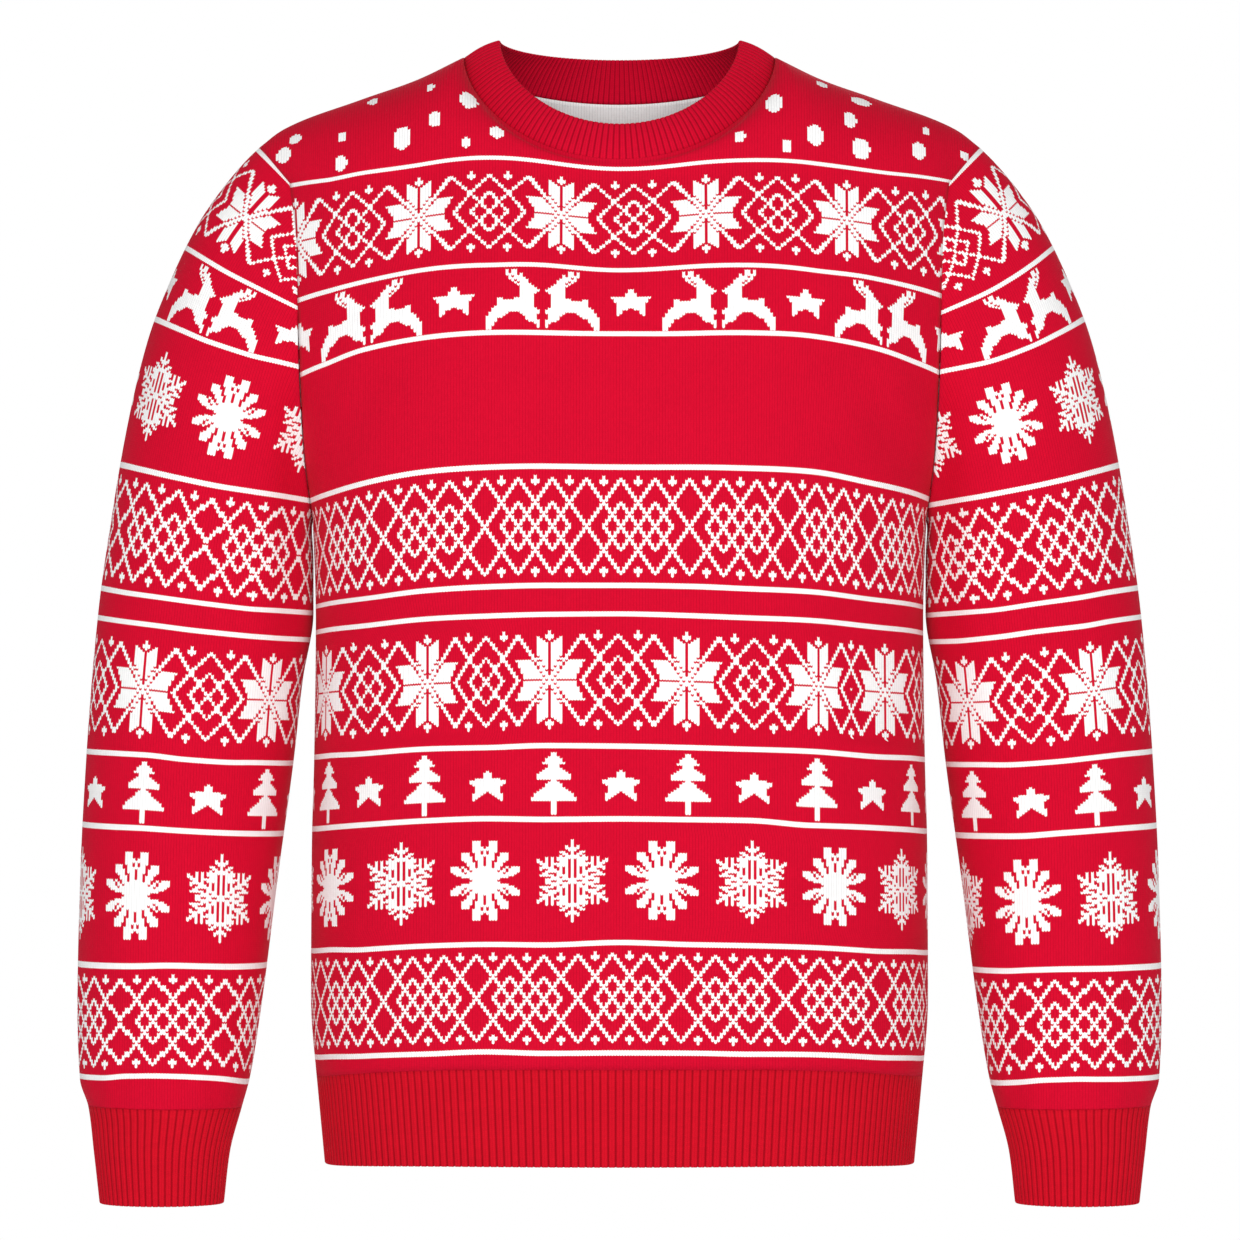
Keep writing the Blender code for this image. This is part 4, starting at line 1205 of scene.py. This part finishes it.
PANEL_SHIFTS = [               # and how many stitches to the -X side
    Sag(30.0, (0.0, 0.0, 0.0, 0.0, 0.0, 0.0, 0.0, -0.8, -2.2, -4.8, -6.0)),
    Sag(72.0, (0.0, 0.0, 0.0, 0.0, 0.0, 0.0, 0.0, -0.8, -2.2, -4.8, -6.0)),
    Sag(80.0, (5.6, 3.0, 0.0, 0.0, 0.0, 0.0, -0.6, -1.3, -1.4, -2.0, -2.6)),
    Sag(125.0, (5.6, 3.0, 0.0, 0.0, 0.0, 0.0, -0.6, -1.3, -1.4, -2.0, -2.6)),
    Sag(133.0, (0.0,) * 11),
    Sag(178.0, (0.0,) * 11),
    Sag(180.0, (0.0, -2.5, -3.7, -1.5, 0.0, 0.0, 0.0, 0.0, -0.3, 4.9, 1.5)),
    Sag(233.0, (0.0, -2.5, -3.7, -1.5, 0.0, 0.0, 0.0, 0.0, -0.3, 4.9, 1.5)),
    Sag(237.0, (2.0, 1.0, 0.0, 0.0, 0.0, 0.0, 0.0, 0.0, 0.5, 2.0, 2.0)),
    Sag(258.0, (4.0, 3.9, 2.0, 0.0, 0.0, 0.0, 0.0, 0.0, 1.5, 3.5, 3.5)),
    Sag(320.0, (4.0, 3.9, 2.0, 0.0, 0.0, 0.0, 0.0, 0.0, 1.5, 3.5, 3.5)),
    Sag(385.0, (3.5, 2.4, 1.2, 0.0, 0.0, 0.0, 0.0, 0.0, 0.0, 0.0, 0.0)),
    Sag(415.0, (3.5, 2.4, 1.2, 0.0, 0.0, 0.0, 0.0, 0.0, 0.0, 0.0, 0.0)),
    Sag(426.0, (0.0,) * 11),
]
SLEEVE_PLACES = (0.0, 0.15, 0.3, 0.5, 0.7, 0.85, 1.0)
LEFT_SAGS = [
    Sag(9.5, (-1.0, -2.2, -3.7, -4.1, -3.5, -3.1, -2.8)),
    Sag(69.5, (1.0, 0.8, -0.1, -0.7, -0.8, -1.0, -1.0)),
    Sag(134.5, (0.6, 1.0, 1.3, 0.4, -0.3, -0.7, -0.8)),
    Sag(172.5, (0.9, 1.5, 2.2, 1.7, 0.5, -0.3, -0.6)),
    Sag(240.5, (2.0, 3.0, 2.8, 1.8, 1.5, 0.3, -0.2)),
    Sag(256.5, (2.2, 2.8, 3.5, 2.5, 1.7, 0.6, 0.1)),
    Sag(316.5, (3.0, 3.2, 3.5, 3.4, 2.7, 1.6, 0.3)),
    Sag(385.5, (-0.4, 2.8, 5.4, 7.2, 6.0, 3.4, 0.0)),
    Sag(419.5, (3.7, 5.0, 5.9, 6.4, 5.0, 3.1, 0.0)),
    Sag(450.5, (7.0, 7.5, 8.2, 8.4, 8.0, 7.0, 5.0)),
    Sag(481.5, (0.0,) * 7),
]
RIGHT_SAGS = [
    Sag(9.5, (-1.4, -4.1, -5.3, -5.9, -5.2, -3.5, -3.0)),
    Sag(69.5, (-1.2, -1.4, -1.9, -2.4, -1.9, -1.8, -1.8)),
    Sag(134.5, (-0.2, -0.2, -0.4, -0.9, -1.4, -1.3, -1.3)),
    Sag(172.5, (0.3, 0.4, 0.9, 0.4, -0.9, -0.8, -0.5)),
    Sag(240.5, (0.8, 1.6, 1.9, 1.8, 1.2, 0.8, 0.2)),
    Sag(256.5, (0.8, 1.6, 2.5, 2.2, 1.6, 1.2, 0.2)),
    Sag(316.5, (0.5, 0.8, 1.4, 2.0, 1.5, 0.8, 0.0)),
    Sag(385.5, (-0.6, 0.6, 2.2, 3.6, 3.3, 1.8, 0.0)),
    Sag(419.5, (3.7, 3.6, 3.4, 2.9, 2.4, 1.4, 0.0)),
    Sag(450.5, (5.0, 5.2, 5.5, 5.5, 5.0, 4.5, 3.0)),
    Sag(481.5, (0.0,) * 7),
]

SNOW = [
    Snow(-67.9, 530.3, 3.2, 7.2), Snow(-53.6, 518.3, 6.3, 14.4), Snow(-65.8, 505.4, 4.6, 9.8),
    Snow(-78.0, 497.7, 7.0, 13.0), Snow(-54.5, 490.0, 3.2, 5.8), Snow(-43.5, 496.6, 4.6, 8.6),
    Snow(-89.7, 534.0, 4.2, 9.6), Snow(-101.5, 505.9, 3.5, 6.4), Snow(-101.8, 489.4, 4.9, 9.0),
    Snow(-123.8, 511.7, 7.0, 7.7), Snow(-129.0, 501.5, 5.6, 10.2), Snow(73.0, 541.7, 4.2, 9.6),
    Snow(55.0, 514.9, 6.3, 14.4), Snow(83.1, 511.4, 4.9, 11.2), Snow(69.8, 496.9, 6.3, 11.5),
    Snow(42.7, 494.0, 3.9, 7.0), Snow(59.5, 489.0, 3.5, 6.4), Snow(87.7, 531.8, 7.7, 10.4),
    Snow(87.1, 494.1, 7.0, 12.8), Snow(110.9, 498.8, 6.3, 11.5), Snow(114.5, 515.2, 3.2, 7.2),
    Snow(132.7, 503.3, 3.5, 6.4),
]

# The flat size of each piece's cloth, all round on a tube.
Cut = namedtuple("Cut", "width length area")

# The creases of each piece, those of the -X sleeve as if it were on the +X side.
FRONT_CREASES = [
    Crease((-0.186, -0.275), (-0.150, -0.205), 0.0026, 0.013),     # from the armholes
    Crease((-0.192, -0.235), (-0.168, -0.170), 0.0014, 0.009),
    Crease((0.186, -0.272), (0.146, -0.196), 0.0028, 0.014),
    Crease((0.192, -0.225), (0.170, -0.150), 0.0015, 0.010),
    Crease((-0.183, -0.310), (-0.130, -0.345), 0.0012, 0.012),
    Crease((0.183, -0.315), (0.120, -0.362), 0.0015, 0.014),
    Crease((-0.150, -0.618), (-0.144, -0.566), 0.0009, 0.008),     # above the hem
    Crease((-0.098, -0.619), (-0.104, -0.590), 0.0007, 0.007),
    Crease((-0.046, -0.618), (-0.038, -0.575), 0.0006, 0.009),
    Crease((0.032, -0.619), (0.030, -0.596), 0.0006, 0.007),
    Crease((0.089, -0.618), (0.098, -0.561), 0.0009, 0.009),
    Crease((0.148, -0.619), (0.152, -0.588), 0.0010, 0.008),
]
BACK_CREASES = [
    Crease((-0.188, -0.270), (-0.140, -0.190), 0.0024, 0.014),
    Crease((0.188, -0.278), (0.134, -0.214), 0.0027, 0.013),
    Crease((-0.184, -0.320), (-0.110, -0.352), 0.0016, 0.015),
    Crease((0.184, -0.308), (0.124, -0.338), 0.0012, 0.012),
    Crease((-0.132, -0.618), (-0.126, -0.572), 0.0009, 0.009),
    Crease((-0.052, -0.619), (-0.058, -0.594), 0.0007, 0.007),
    Crease((0.066, -0.618), (0.060, -0.568), 0.0008, 0.009),
    Crease((0.140, -0.619), (0.148, -0.590), 0.0009, 0.008),
]
LEFT_CREASES = [
    Crease((0.199, -0.190), (0.203, -0.372), 0.0048, 0.009),       # beside the body
    Crease((0.204, -0.395), (0.244, -0.418), 0.0019, 0.010),       # inner side of the elbow
    Crease((0.206, -0.432), (0.262, -0.447), 0.0023, 0.011),
    Crease((0.210, -0.470), (0.240, -0.476), 0.0014, 0.009),
    Crease((0.244, -0.649), (0.240, -0.606), 0.0013, 0.006),       # gathered into the cuff
    Crease((0.262, -0.649), (0.266, -0.622), 0.0011, 0.005),
    Crease((0.281, -0.649), (0.278, -0.596), 0.0015, 0.007),
    Crease((0.298, -0.649), (0.303, -0.616), 0.0012, 0.006),
    Crease((0.315, -0.649), (0.318, -0.610), 0.0013, 0.006),
]
RIGHT_CREASES = [
    Crease((0.199, -0.196), (0.204, -0.380), 0.0050, 0.009),
    Crease((0.204, -0.402), (0.250, -0.428), 0.0021, 0.011),
    Crease((0.206, -0.446), (0.252, -0.456), 0.0018, 0.010),
    Crease((0.212, -0.482), (0.262, -0.494), 0.0015, 0.010),
    Crease((0.247, -0.649), (0.250, -0.614), 0.0012, 0.006),
    Crease((0.268, -0.649), (0.264, -0.598), 0.0015, 0.006),
    Crease((0.288, -0.649), (0.292, -0.624), 0.0010, 0.005),
    Crease((0.306, -0.649), (0.302, -0.604), 0.0014, 0.007),
    Crease((0.321, -0.649), (0.324, -0.618), 0.0011, 0.005),
]
SLEEVE_BACK_CREASES = [
    Crease((0.199, -0.200), (0.203, -0.365), 0.0045, 0.010),
    Crease((0.205, -0.410), (0.256, -0.430), 0.0018, 0.011),
    Crease((0.208, -0.455), (0.246, -0.462), 0.0014, 0.009),
    Crease((0.250, -0.649), (0.246, -0.608), 0.0013, 0.006),
    Crease((0.276, -0.649), (0.280, -0.618), 0.0011, 0.006),
    Crease((0.300, -0.649), (0.297, -0.602), 0.0014, 0.007),
    Crease((0.318, -0.649), (0.321, -0.622), 0.0011, 0.005),
]

# ------------------------------------------------------------------ stage
CAMERA_ACROSS = 0.0003        # the camera stands this far to the +X side
CAMERA_SENSOR = 36.0          # millimetres
CAMERA_REACH = 100.0
FLOOR_RADIUS = 6.0
FLOOR_SIDES = 96
FLOOR_COLOUR = (0.9, 0.9, 0.9, 1.0)
FLOOR_ROUGHNESS = 0.9
# Softboxes: where they stand, what they face, their size, and their power over the usual one's.
Lamp = namedtuple("Lamp", "name place toward width height share")
LAMPS = [
    Lamp("key", (-1.0, -4.2, 0.6), (0.0, 0.0, -0.35), 1.6, 1.6, 1.0),
    Lamp("fill", (1.0, -4.2, 0.4), (0.0, 0.0, -0.35), 1.6, 1.6, 0.95),
    Lamp("back", (0.5, 4.2, 0.6), (0.0, 0.0, -0.35), 2.4, 1.6, 1.5),
]

# ------------------------------------------------------------------ finishes
CLOTH_ROUGHNESS = 0.9
CLOTH_SPECULAR = 0.04
CLOTH_SHEEN = 0.08
CLOTH_SHEEN_ROUGHNESS = 0.35
CLOTH_SHEEN_TINT = (1.0, 0.35, 0.4, 1.0)
PAINTED_GAP_SHADE = 0.71              # painted shade: how light the colour is painted in the gaps between stitches, and how much painted light the tops of their strands get
PAINTED_STRAND_LIGHT = 0.42           # tops of their strands
SPECK_SHADE = 0.5             # how much one stitch differs from the next
SPECK_HEIGHT = 0.25
CLOUD_SIZE = 0.035            # clouds in the dye to a stitch
RIB_CLOUD_SIZE = 0.11
RIB_CLOUD_SHADE = 0.9
PAINTED_GROOVE_SHADE = 0.64           # how light the painted shade leaves the colour at the bottom of a rib's groove, and half the width of that painted shade, in ribs
GROOVE_WIDTH = 0.2            # half of it, in ribs


def yarn_group():
    """Painted shade for each stitch of a knit, darker in its gaps and lighter on its strands, times
    the dye's unevenness, and how high it stands for a bump.
    """
    group, add, given, out = new_group(
        "yarn", {"Cell": "Vector", "Relief": "Float", "Mottle": "Float"},
        {"Shade": "Float", "Height": "Float"})
    speck = add.node("ShaderNodeTexWhiteNoise", Vector=given["Cell"]).outputs["Value"]
    cloud = add.node("ShaderNodeTexNoise", Vector=given["Cell"], Scale=CLOUD_SIZE, Detail=3.0)
    odd = add.math("SUBTRACT", speck, 0.5)
    uneven = add.math("ADD", add.math("MULTIPLY", odd, SPECK_SHADE),
                      add.math("SUBTRACT", cloud.outputs["Fac"], 0.5))
    # painted shade: the colour is darker in the gaps between stitches, and painted light makes it
    # lighter on the tops of their strands
    painted_strand_shade = add.math("MULTIPLY_ADD", given["Relief"], PAINTED_STRAND_LIGHT, PAINTED_GAP_SHADE)
    mottled = add.math("MULTIPLY_ADD", uneven, given["Mottle"], 1.0)
    add.feed(out["Shade"], add.math("MULTIPLY", painted_strand_shade, mottled))
    add.feed(out["Height"], add.math("MULTIPLY_ADD", odd, SPECK_HEIGHT, given["Relief"]))
    return group


GROUP_MAKERS = {
    "stitch": stitch_group,
    "yarn": yarn_group,
    "snow": lambda: snow_group(SNOW),
    "jacquard": lambda: jacquard_group({
        "lower_star": chart_group("lower star chart", star_chart(SPAN.star, 1.0)),
        "upper_star": chart_group("upper star chart",
                                  star_chart(SPAN.upper_star, UPPER_STAR_HEIGHT)),
        "lattice": chart_group("lattice chart", lattice_chart()),
        "reindeer": chart_group("reindeer chart", reindeer_chart()),
        "trees": chart_group("trees chart", trees_chart()),
        "flakes": chart_group("flakes chart", flakes_chart()),
    }),
}


def shared(name):
    """A node group that is built once, the first time a material needs it."""
    return bpy.data.node_groups.get(name) or GROUP_MAKERS[name]()


def knit_surface(name):
    """A new material, its Principled BSDF, the stitches of its cloth and its place in stitches."""
    material = bpy.data.materials.new(name)
    material.use_nodes = True
    add = Wiring(material.node_tree)
    surface = material.node_tree.nodes["Principled BSDF"].inputs
    surface["Roughness"].default_value = CLOTH_ROUGHNESS
    surface["Metallic"].default_value = 0.0
    surface["Specular IOR Level"].default_value = CLOTH_SPECULAR
    surface["Sheen Weight"].default_value = CLOTH_SHEEN
    surface["Sheen Roughness"].default_value = CLOTH_SHEEN_ROUGHNESS
    surface["Sheen Tint"].default_value = CLOTH_SHEEN_TINT
    chosen = add.node("ShaderNodeUVMap")
    chosen.uv_map = "Stitches"
    place = chosen.outputs["UV"]
    return material, add, surface, add.group(shared("stitch"), Stitches=place), place


def finish_knit(add, surface, stitch, colour, mottle, relief):
    """Paints shade into the yarn's colour stitch by stitch, with the dye's unevenness, and raises
    the stitches with a bump.
    """
    yarn = add.group(shared("yarn"), Cell=stitch["Cell"], Relief=stitch["Relief"], Mottle=mottle)
    add.feed(surface["Base Color"], add.vector("SCALE", colour, scale=yarn["Shade"]))
    bump = add.node("ShaderNodeBump", Height=yarn["Height"], Distance=relief, Strength=1.0)
    add.feed(surface["Normal"], bump.outputs["Normal"])


def jacquard_material(name, bands, snow, inside):
    """Two-colour knit. bands say which stitch each band of pattern mirrors at."""
    wool = bpy.context.scene.jumper_yarn
    material, add, surface, stitch, _ = knit_surface(name)
    places = {band: float(place) for band, place in bands._asdict().items()}
    white = add.group(shared("jacquard"), Wale=stitch["Wale"], Row=stitch["Row"],
                      Level=stitch["Level"], **places)["White"]
    if snow:
        white = add.math("MAXIMUM", white, add.group(shared("snow"), Cell=stitch["Cell"])["White"])
    first, second = wool.red_yarn, wool.white_yarn
    if inside:
        first, second = wool.inner_yarn, first
    colour = add.mix(white, tuple(first), tuple(second))
    finish_knit(add, surface, stitch, colour, wool.mottle, wool.relief)
    return material


def rib_material(name, yarn):
    """Plain rib in one colour with cloudy dye, and painted shade in the bottoms of its grooves."""
    wool = bpy.context.scene.jumper_yarn
    material, add, surface, stitch, place = knit_surface(name)
    cloud = add.node("ShaderNodeTexNoise", Vector=stitch["Cell"], Scale=RIB_CLOUD_SIZE, Detail=2.0)
    darker = tuple(RIB_CLOUD_SHADE * part for part in yarn[:3]) + (1.0,)
    colour = add.mix(cloud.outputs["Fac"], darker, tuple(yarn))
    # painted shade: the rib's colour darkens towards the bottom of each groove
    along = add.node("ShaderNodeSeparateXYZ", Vector=place).outputs["X"]
    painted_light_share = add.math("DIVIDE", add.math("PINGPONG", along, 0.5), GROOVE_WIDTH, clamp=True)
    painted_groove_shade = add.math("MULTIPLY_ADD", painted_light_share, 1.0 - PAINTED_GROOVE_SHADE, PAINTED_GROOVE_SHADE)
    colour = add.vector("SCALE", colour, scale=painted_groove_shade)
    finish_knit(add, surface, stitch, colour, wool.mottle, wool.relief)
    return material


# ------------------------------------------------------------------ settings
class JumperYarn(bpy.types.PropertyGroup):
    """Colours of the yarns, and how the knit's surface stands out."""
    red_yarn: bpy.props.FloatVectorProperty(
        name="Red yarn", description="Ground colour of the jacquard", subtype="COLOR", size=4,
        min=0.0, max=1.0, default=(0.63, 0.0034, 0.0265, 1.0))
    rib_yarn: bpy.props.FloatVectorProperty(
        name="Rib yarn", description="Colour of the ribs", subtype="COLOR", size=4,
        min=0.0, max=1.0, default=(0.60, 0.0052, 0.0180, 1.0))
    white_yarn: bpy.props.FloatVectorProperty(
        name="White yarn", description="Pattern colour of the jacquard", subtype="COLOR", size=4,
        min=0.0, max=1.0, default=(0.96, 0.955, 0.95, 1.0))
    inner_yarn: bpy.props.FloatVectorProperty(
        name="Inner yarn", description="Colour that shows on the knit's inner side",
        subtype="COLOR", size=4, min=0.0, max=1.0, default=(0.99, 0.985, 0.98, 1.0))
    mottle: bpy.props.FloatProperty(
        name="Mottle", description="How unevenly the yarn took its dye", default=0.10,
        min=0.0, max=1.0, subtype="FACTOR")
    relief: bpy.props.FloatProperty(
        name="Relief", description="How high the stitches stand", default=0.00022,
        min=0.0, unit="LENGTH")


class JumperRibs(bpy.types.PropertyGroup):
    """How many ribs each band has, and how deep they are."""
    height: bpy.props.FloatProperty(
        name="Rib height", description="From the bottom of a rib's groove to its top",
        default=0.0008, min=0.0, unit="LENGTH")
    neck: bpy.props.IntProperty(
        name="Neck ribs", description="Ribs round the neckband", default=160, min=24)
    hem: bpy.props.IntProperty(
        name="Hem ribs", description="Ribs round the hem", default=214, min=24)
    cuff: bpy.props.IntProperty(
        name="Cuff ribs", description="Ribs round each cuff", default=60, min=24)


class JumperStage(bpy.types.PropertyGroup):
    """The camera, the floor and the lights."""
    distance: bpy.props.FloatProperty(
        name="Camera distance", description="From the camera to the middle of the jumper",
        default=5.0, min=1.0, unit="LENGTH")
    height: bpy.props.FloatProperty(
        name="Camera height", description="Height of the camera", default=-0.349, unit="LENGTH")
    lens: bpy.props.FloatProperty(
        name="Lens", description="Focal length in millimetres", default=233.7, min=10.0)
    floor: bpy.props.FloatProperty(
        name="Floor height", description="Height of the floor below the hanging jumper",
        default=-1.5, unit="LENGTH")
    daylight: bpy.props.FloatProperty(
        name="Daylight", description="Strength of the even light all round", default=0.46, min=0.0)
    softbox: bpy.props.FloatProperty(
        name="Softbox", description="Power of each softbox, in watts", default=64.0, min=0.0)


# ------------------------------------------------------------------ pieces
GRIDS = {}


def garment():
    """The grids of every piece, worked out once."""
    if not GRIDS:
        front, back = panel_grid(FRONT), panel_grid(BACK)
        sleeve = sleeve_grid(front, back)
        GRIDS.update(front=front, back=back, sleeve=sleeve, hem=hem_rings(front, back),
                     cuff=cuff_rings(sleeve[0][-1], sleeve[1][-1]),
                     neckband=neckband_rings(front, back))
    return GRIDS


def dress(piece, node):
    """Ties a piece of cloth to the frame's root body and hides the solid that it stands for."""
    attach(piece, "root")
    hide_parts(node)


class KnitPanels(bpy.types.Operator):
    """Knit the front and the back"""
    bl_idname = "jumper.knit_panels"
    bl_label = "Front and back"
    bl_options = {"REGISTER", "UNDO"}

    def execute(self, context):
        for name, bands, facing, creases in (("front", FRONT_BANDS, FRONT, FRONT_CREASES),
                                             ("back", BACK_BANDS, BACK, BACK_CREASES)):
            outer, normal = garment()[name]
            stitches = panel_stitches(outer)
            for sags, axis in ((PANEL_SAGS, 1), (PANEL_SHIFTS, 0)):
                stitches = sagged(stitches, outer[..., 0], PANEL_PLACES, sags, axis)
            materials = [jacquard_material(name + "_knit", bands, True, False),
                         jacquard_material(name + "_inside", bands, True, True)]
            outer = creased(outer, normal, creases, facing)
            piece = plain_piece(name + "_knit", outer, normal, False, stitches, materials)
            dress(piece, name)
        return {"FINISHED"}


class KnitSleeves(bpy.types.Operator):
    """Knit both sleeves"""
    bl_idname = "jumper.knit_sleeves"
    bl_label = "Sleeves"
    bl_options = {"REGISTER", "UNDO"}

    def execute(self, context):
        outer, normal = garment()["sleeve"]
        level = sleeve_stitches(outer, normal)
        columns = level.shape[1] - 1
        turn = np.arange(columns + 1) * 2.0 * math.pi / columns
        place = np.tile(0.5 - 0.5 * np.cos(turn), (len(level), 1))
        for name, bands, sags, creases in (
                ("sleeve_left", LEFT_BANDS, LEFT_SAGS, LEFT_CREASES),
                ("sleeve_right", RIGHT_BANDS, RIGHT_SAGS, RIGHT_CREASES)):
            stitches = sagged(level, place, SLEEVE_PLACES, sags)
            points, facing = creased(outer, normal, creases, FRONT), normal
            points = creased(points, normal, SLEEVE_BACK_CREASES, BACK)
            if name == "sleeve_right":
                points, facing = other_side(points), other_side(normal)
            materials = [jacquard_material(name + "_knit", bands, False, False),
                         jacquard_material(name + "_inside", bands, False, True)]
            piece = plain_piece(name + "_knit", points, facing, True, stitches, materials)
            dress(piece, name)
        return {"FINISHED"}


class KnitBands(bpy.types.Operator):
    """Knit the ribbed neckband, hem and cuffs"""
    bl_idname = "jumper.knit_bands"
    bl_label = "Ribbed bands"
    bl_options = {"REGISTER", "UNDO"}

    def execute(self, context):
        ribs = context.scene.jumper_ribs
        wool = context.scene.jumper_yarn
        neck = rib_material("neck_rib", wool.red_yarn)
        rib = rib_material("rib", wool.rib_yarn)
        for name, source, count, material in (("neckband", "neckband", ribs.neck, neck),
                                              ("hem_rib", "hem", ribs.hem, rib),
                                              ("cuff_left", "cuff", ribs.cuff, rib),
                                              ("cuff_right", "cuff", ribs.cuff, rib)):
            outer, normal = garment()[source]
            if name == "cuff_right":
                outer, normal = other_side(outer), other_side(normal)
            piece = ribbed_piece(name + "_knit", outer, normal, count, ribs.height, material)
            dress(piece, name)
        return {"FINISHED"}


class SetStage(bpy.types.Operator):
    """Place the camera, the floor and the lights"""
    bl_idname = "jumper.set_stage"
    bl_label = "Stage"
    bl_options = {"REGISTER", "UNDO"}

    def execute(self, context):
        scene, stage = context.scene, context.scene.jumper_stage
        scene.view_settings.view_transform = "Standard"
        camera = bpy.data.objects.new("camera", bpy.data.cameras.new("camera"))
        camera.data.lens = stage.lens
        camera.data.sensor_width = CAMERA_SENSOR
        camera.data.clip_end = CAMERA_REACH
        camera.location = (CAMERA_ACROSS, -stage.distance, stage.height)
        camera.rotation_euler = (math.radians(90.0), 0.0, 0.0)
        scene.collection.objects.link(camera)
        scene.camera = camera

        mesh = bpy.data.meshes.new("floor")
        shape = bmesh.new()
        bmesh.ops.create_circle(shape, cap_ends=True, segments=FLOOR_SIDES,
                                radius=FLOOR_RADIUS)
        shape.to_mesh(mesh)
        shape.free()
        floor = bpy.data.objects.new("floor", mesh)
        floor.location = (0.0, 0.0, stage.floor)
        paint = bpy.data.materials.new("floor")
        paint.use_nodes = True
        surface = paint.node_tree.nodes["Principled BSDF"].inputs
        surface["Base Color"].default_value = FLOOR_COLOUR
        surface["Roughness"].default_value = FLOOR_ROUGHNESS
        mesh.materials.append(paint)
        scene.collection.objects.link(floor)

        world = bpy.data.worlds.new("daylight")
        world.use_nodes = True
        add = Wiring(world.node_tree)
        background = world.node_tree.nodes["Background"].inputs
        background["Color"].default_value = (1.0, 1.0, 1.0, 1.0)
        seen = add.node("ShaderNodeLightPath").outputs["Is Camera Ray"]
        strength = add.math("MULTIPLY_ADD", seen, 1.0 - stage.daylight, stage.daylight)
        add.feed(background["Strength"], strength)
        scene.world = world
        for lamp in LAMPS:
            light = bpy.data.lights.new(lamp.name, "AREA")
            light.shape = "RECTANGLE"
            light.size, light.size_y = lamp.width, lamp.height
            light.energy = stage.softbox * lamp.share
            holder = bpy.data.objects.new(lamp.name, light)
            holder.location = lamp.place
            aim = Vector(lamp.toward) - Vector(lamp.place)
            holder.rotation_euler = aim.to_track_quat("-Z", "Y").to_euler()
            scene.collection.objects.link(holder)
        return {"FINISHED"}


class JumperPanel(bpy.types.Panel):
    """Sizes, colours and the steps that make the jumper"""
    bl_idname = "VIEW3D_PT_jumper"
    bl_label = "Nordic jumper"
    bl_space_type = "VIEW_3D"
    bl_region_type = "UI"
    bl_category = "Jumper"

    def draw(self, context):
        layout = self.layout
        for settings, title in ((context.scene.jumper_yarn, "Yarn"),
                                (context.scene.jumper_ribs, "Ribs"),
                                (context.scene.jumper_stage, "Stage")):
            box = layout.box()
            box.label(text=title)
            for name in settings.__annotations__:
                box.prop(settings, name)
        for operator in OPERATORS:
            layout.operator(operator.bl_idname)


OPERATORS = (KnitPanels, KnitSleeves, KnitBands, SetStage)
CLASSES = (JumperYarn, JumperRibs, JumperStage) + OPERATORS + (JumperPanel,)


def register():
    for item in CLASSES:
        bpy.utils.register_class(item)
    bpy.types.Scene.jumper_yarn = bpy.props.PointerProperty(type=JumperYarn)
    bpy.types.Scene.jumper_ribs = bpy.props.PointerProperty(type=JumperRibs)
    bpy.types.Scene.jumper_stage = bpy.props.PointerProperty(type=JumperStage)


def unregister():
    del bpy.types.Scene.jumper_stage
    del bpy.types.Scene.jumper_ribs
    del bpy.types.Scene.jumper_yarn
    for item in reversed(CLASSES):
        bpy.utils.unregister_class(item)


def main():
    register()
    bpy.ops.jumper.set_stage()
    bpy.ops.jumper.knit_panels()
    bpy.ops.jumper.knit_sleeves()
    bpy.ops.jumper.knit_bands()


if __name__ == "__main__":
    main()
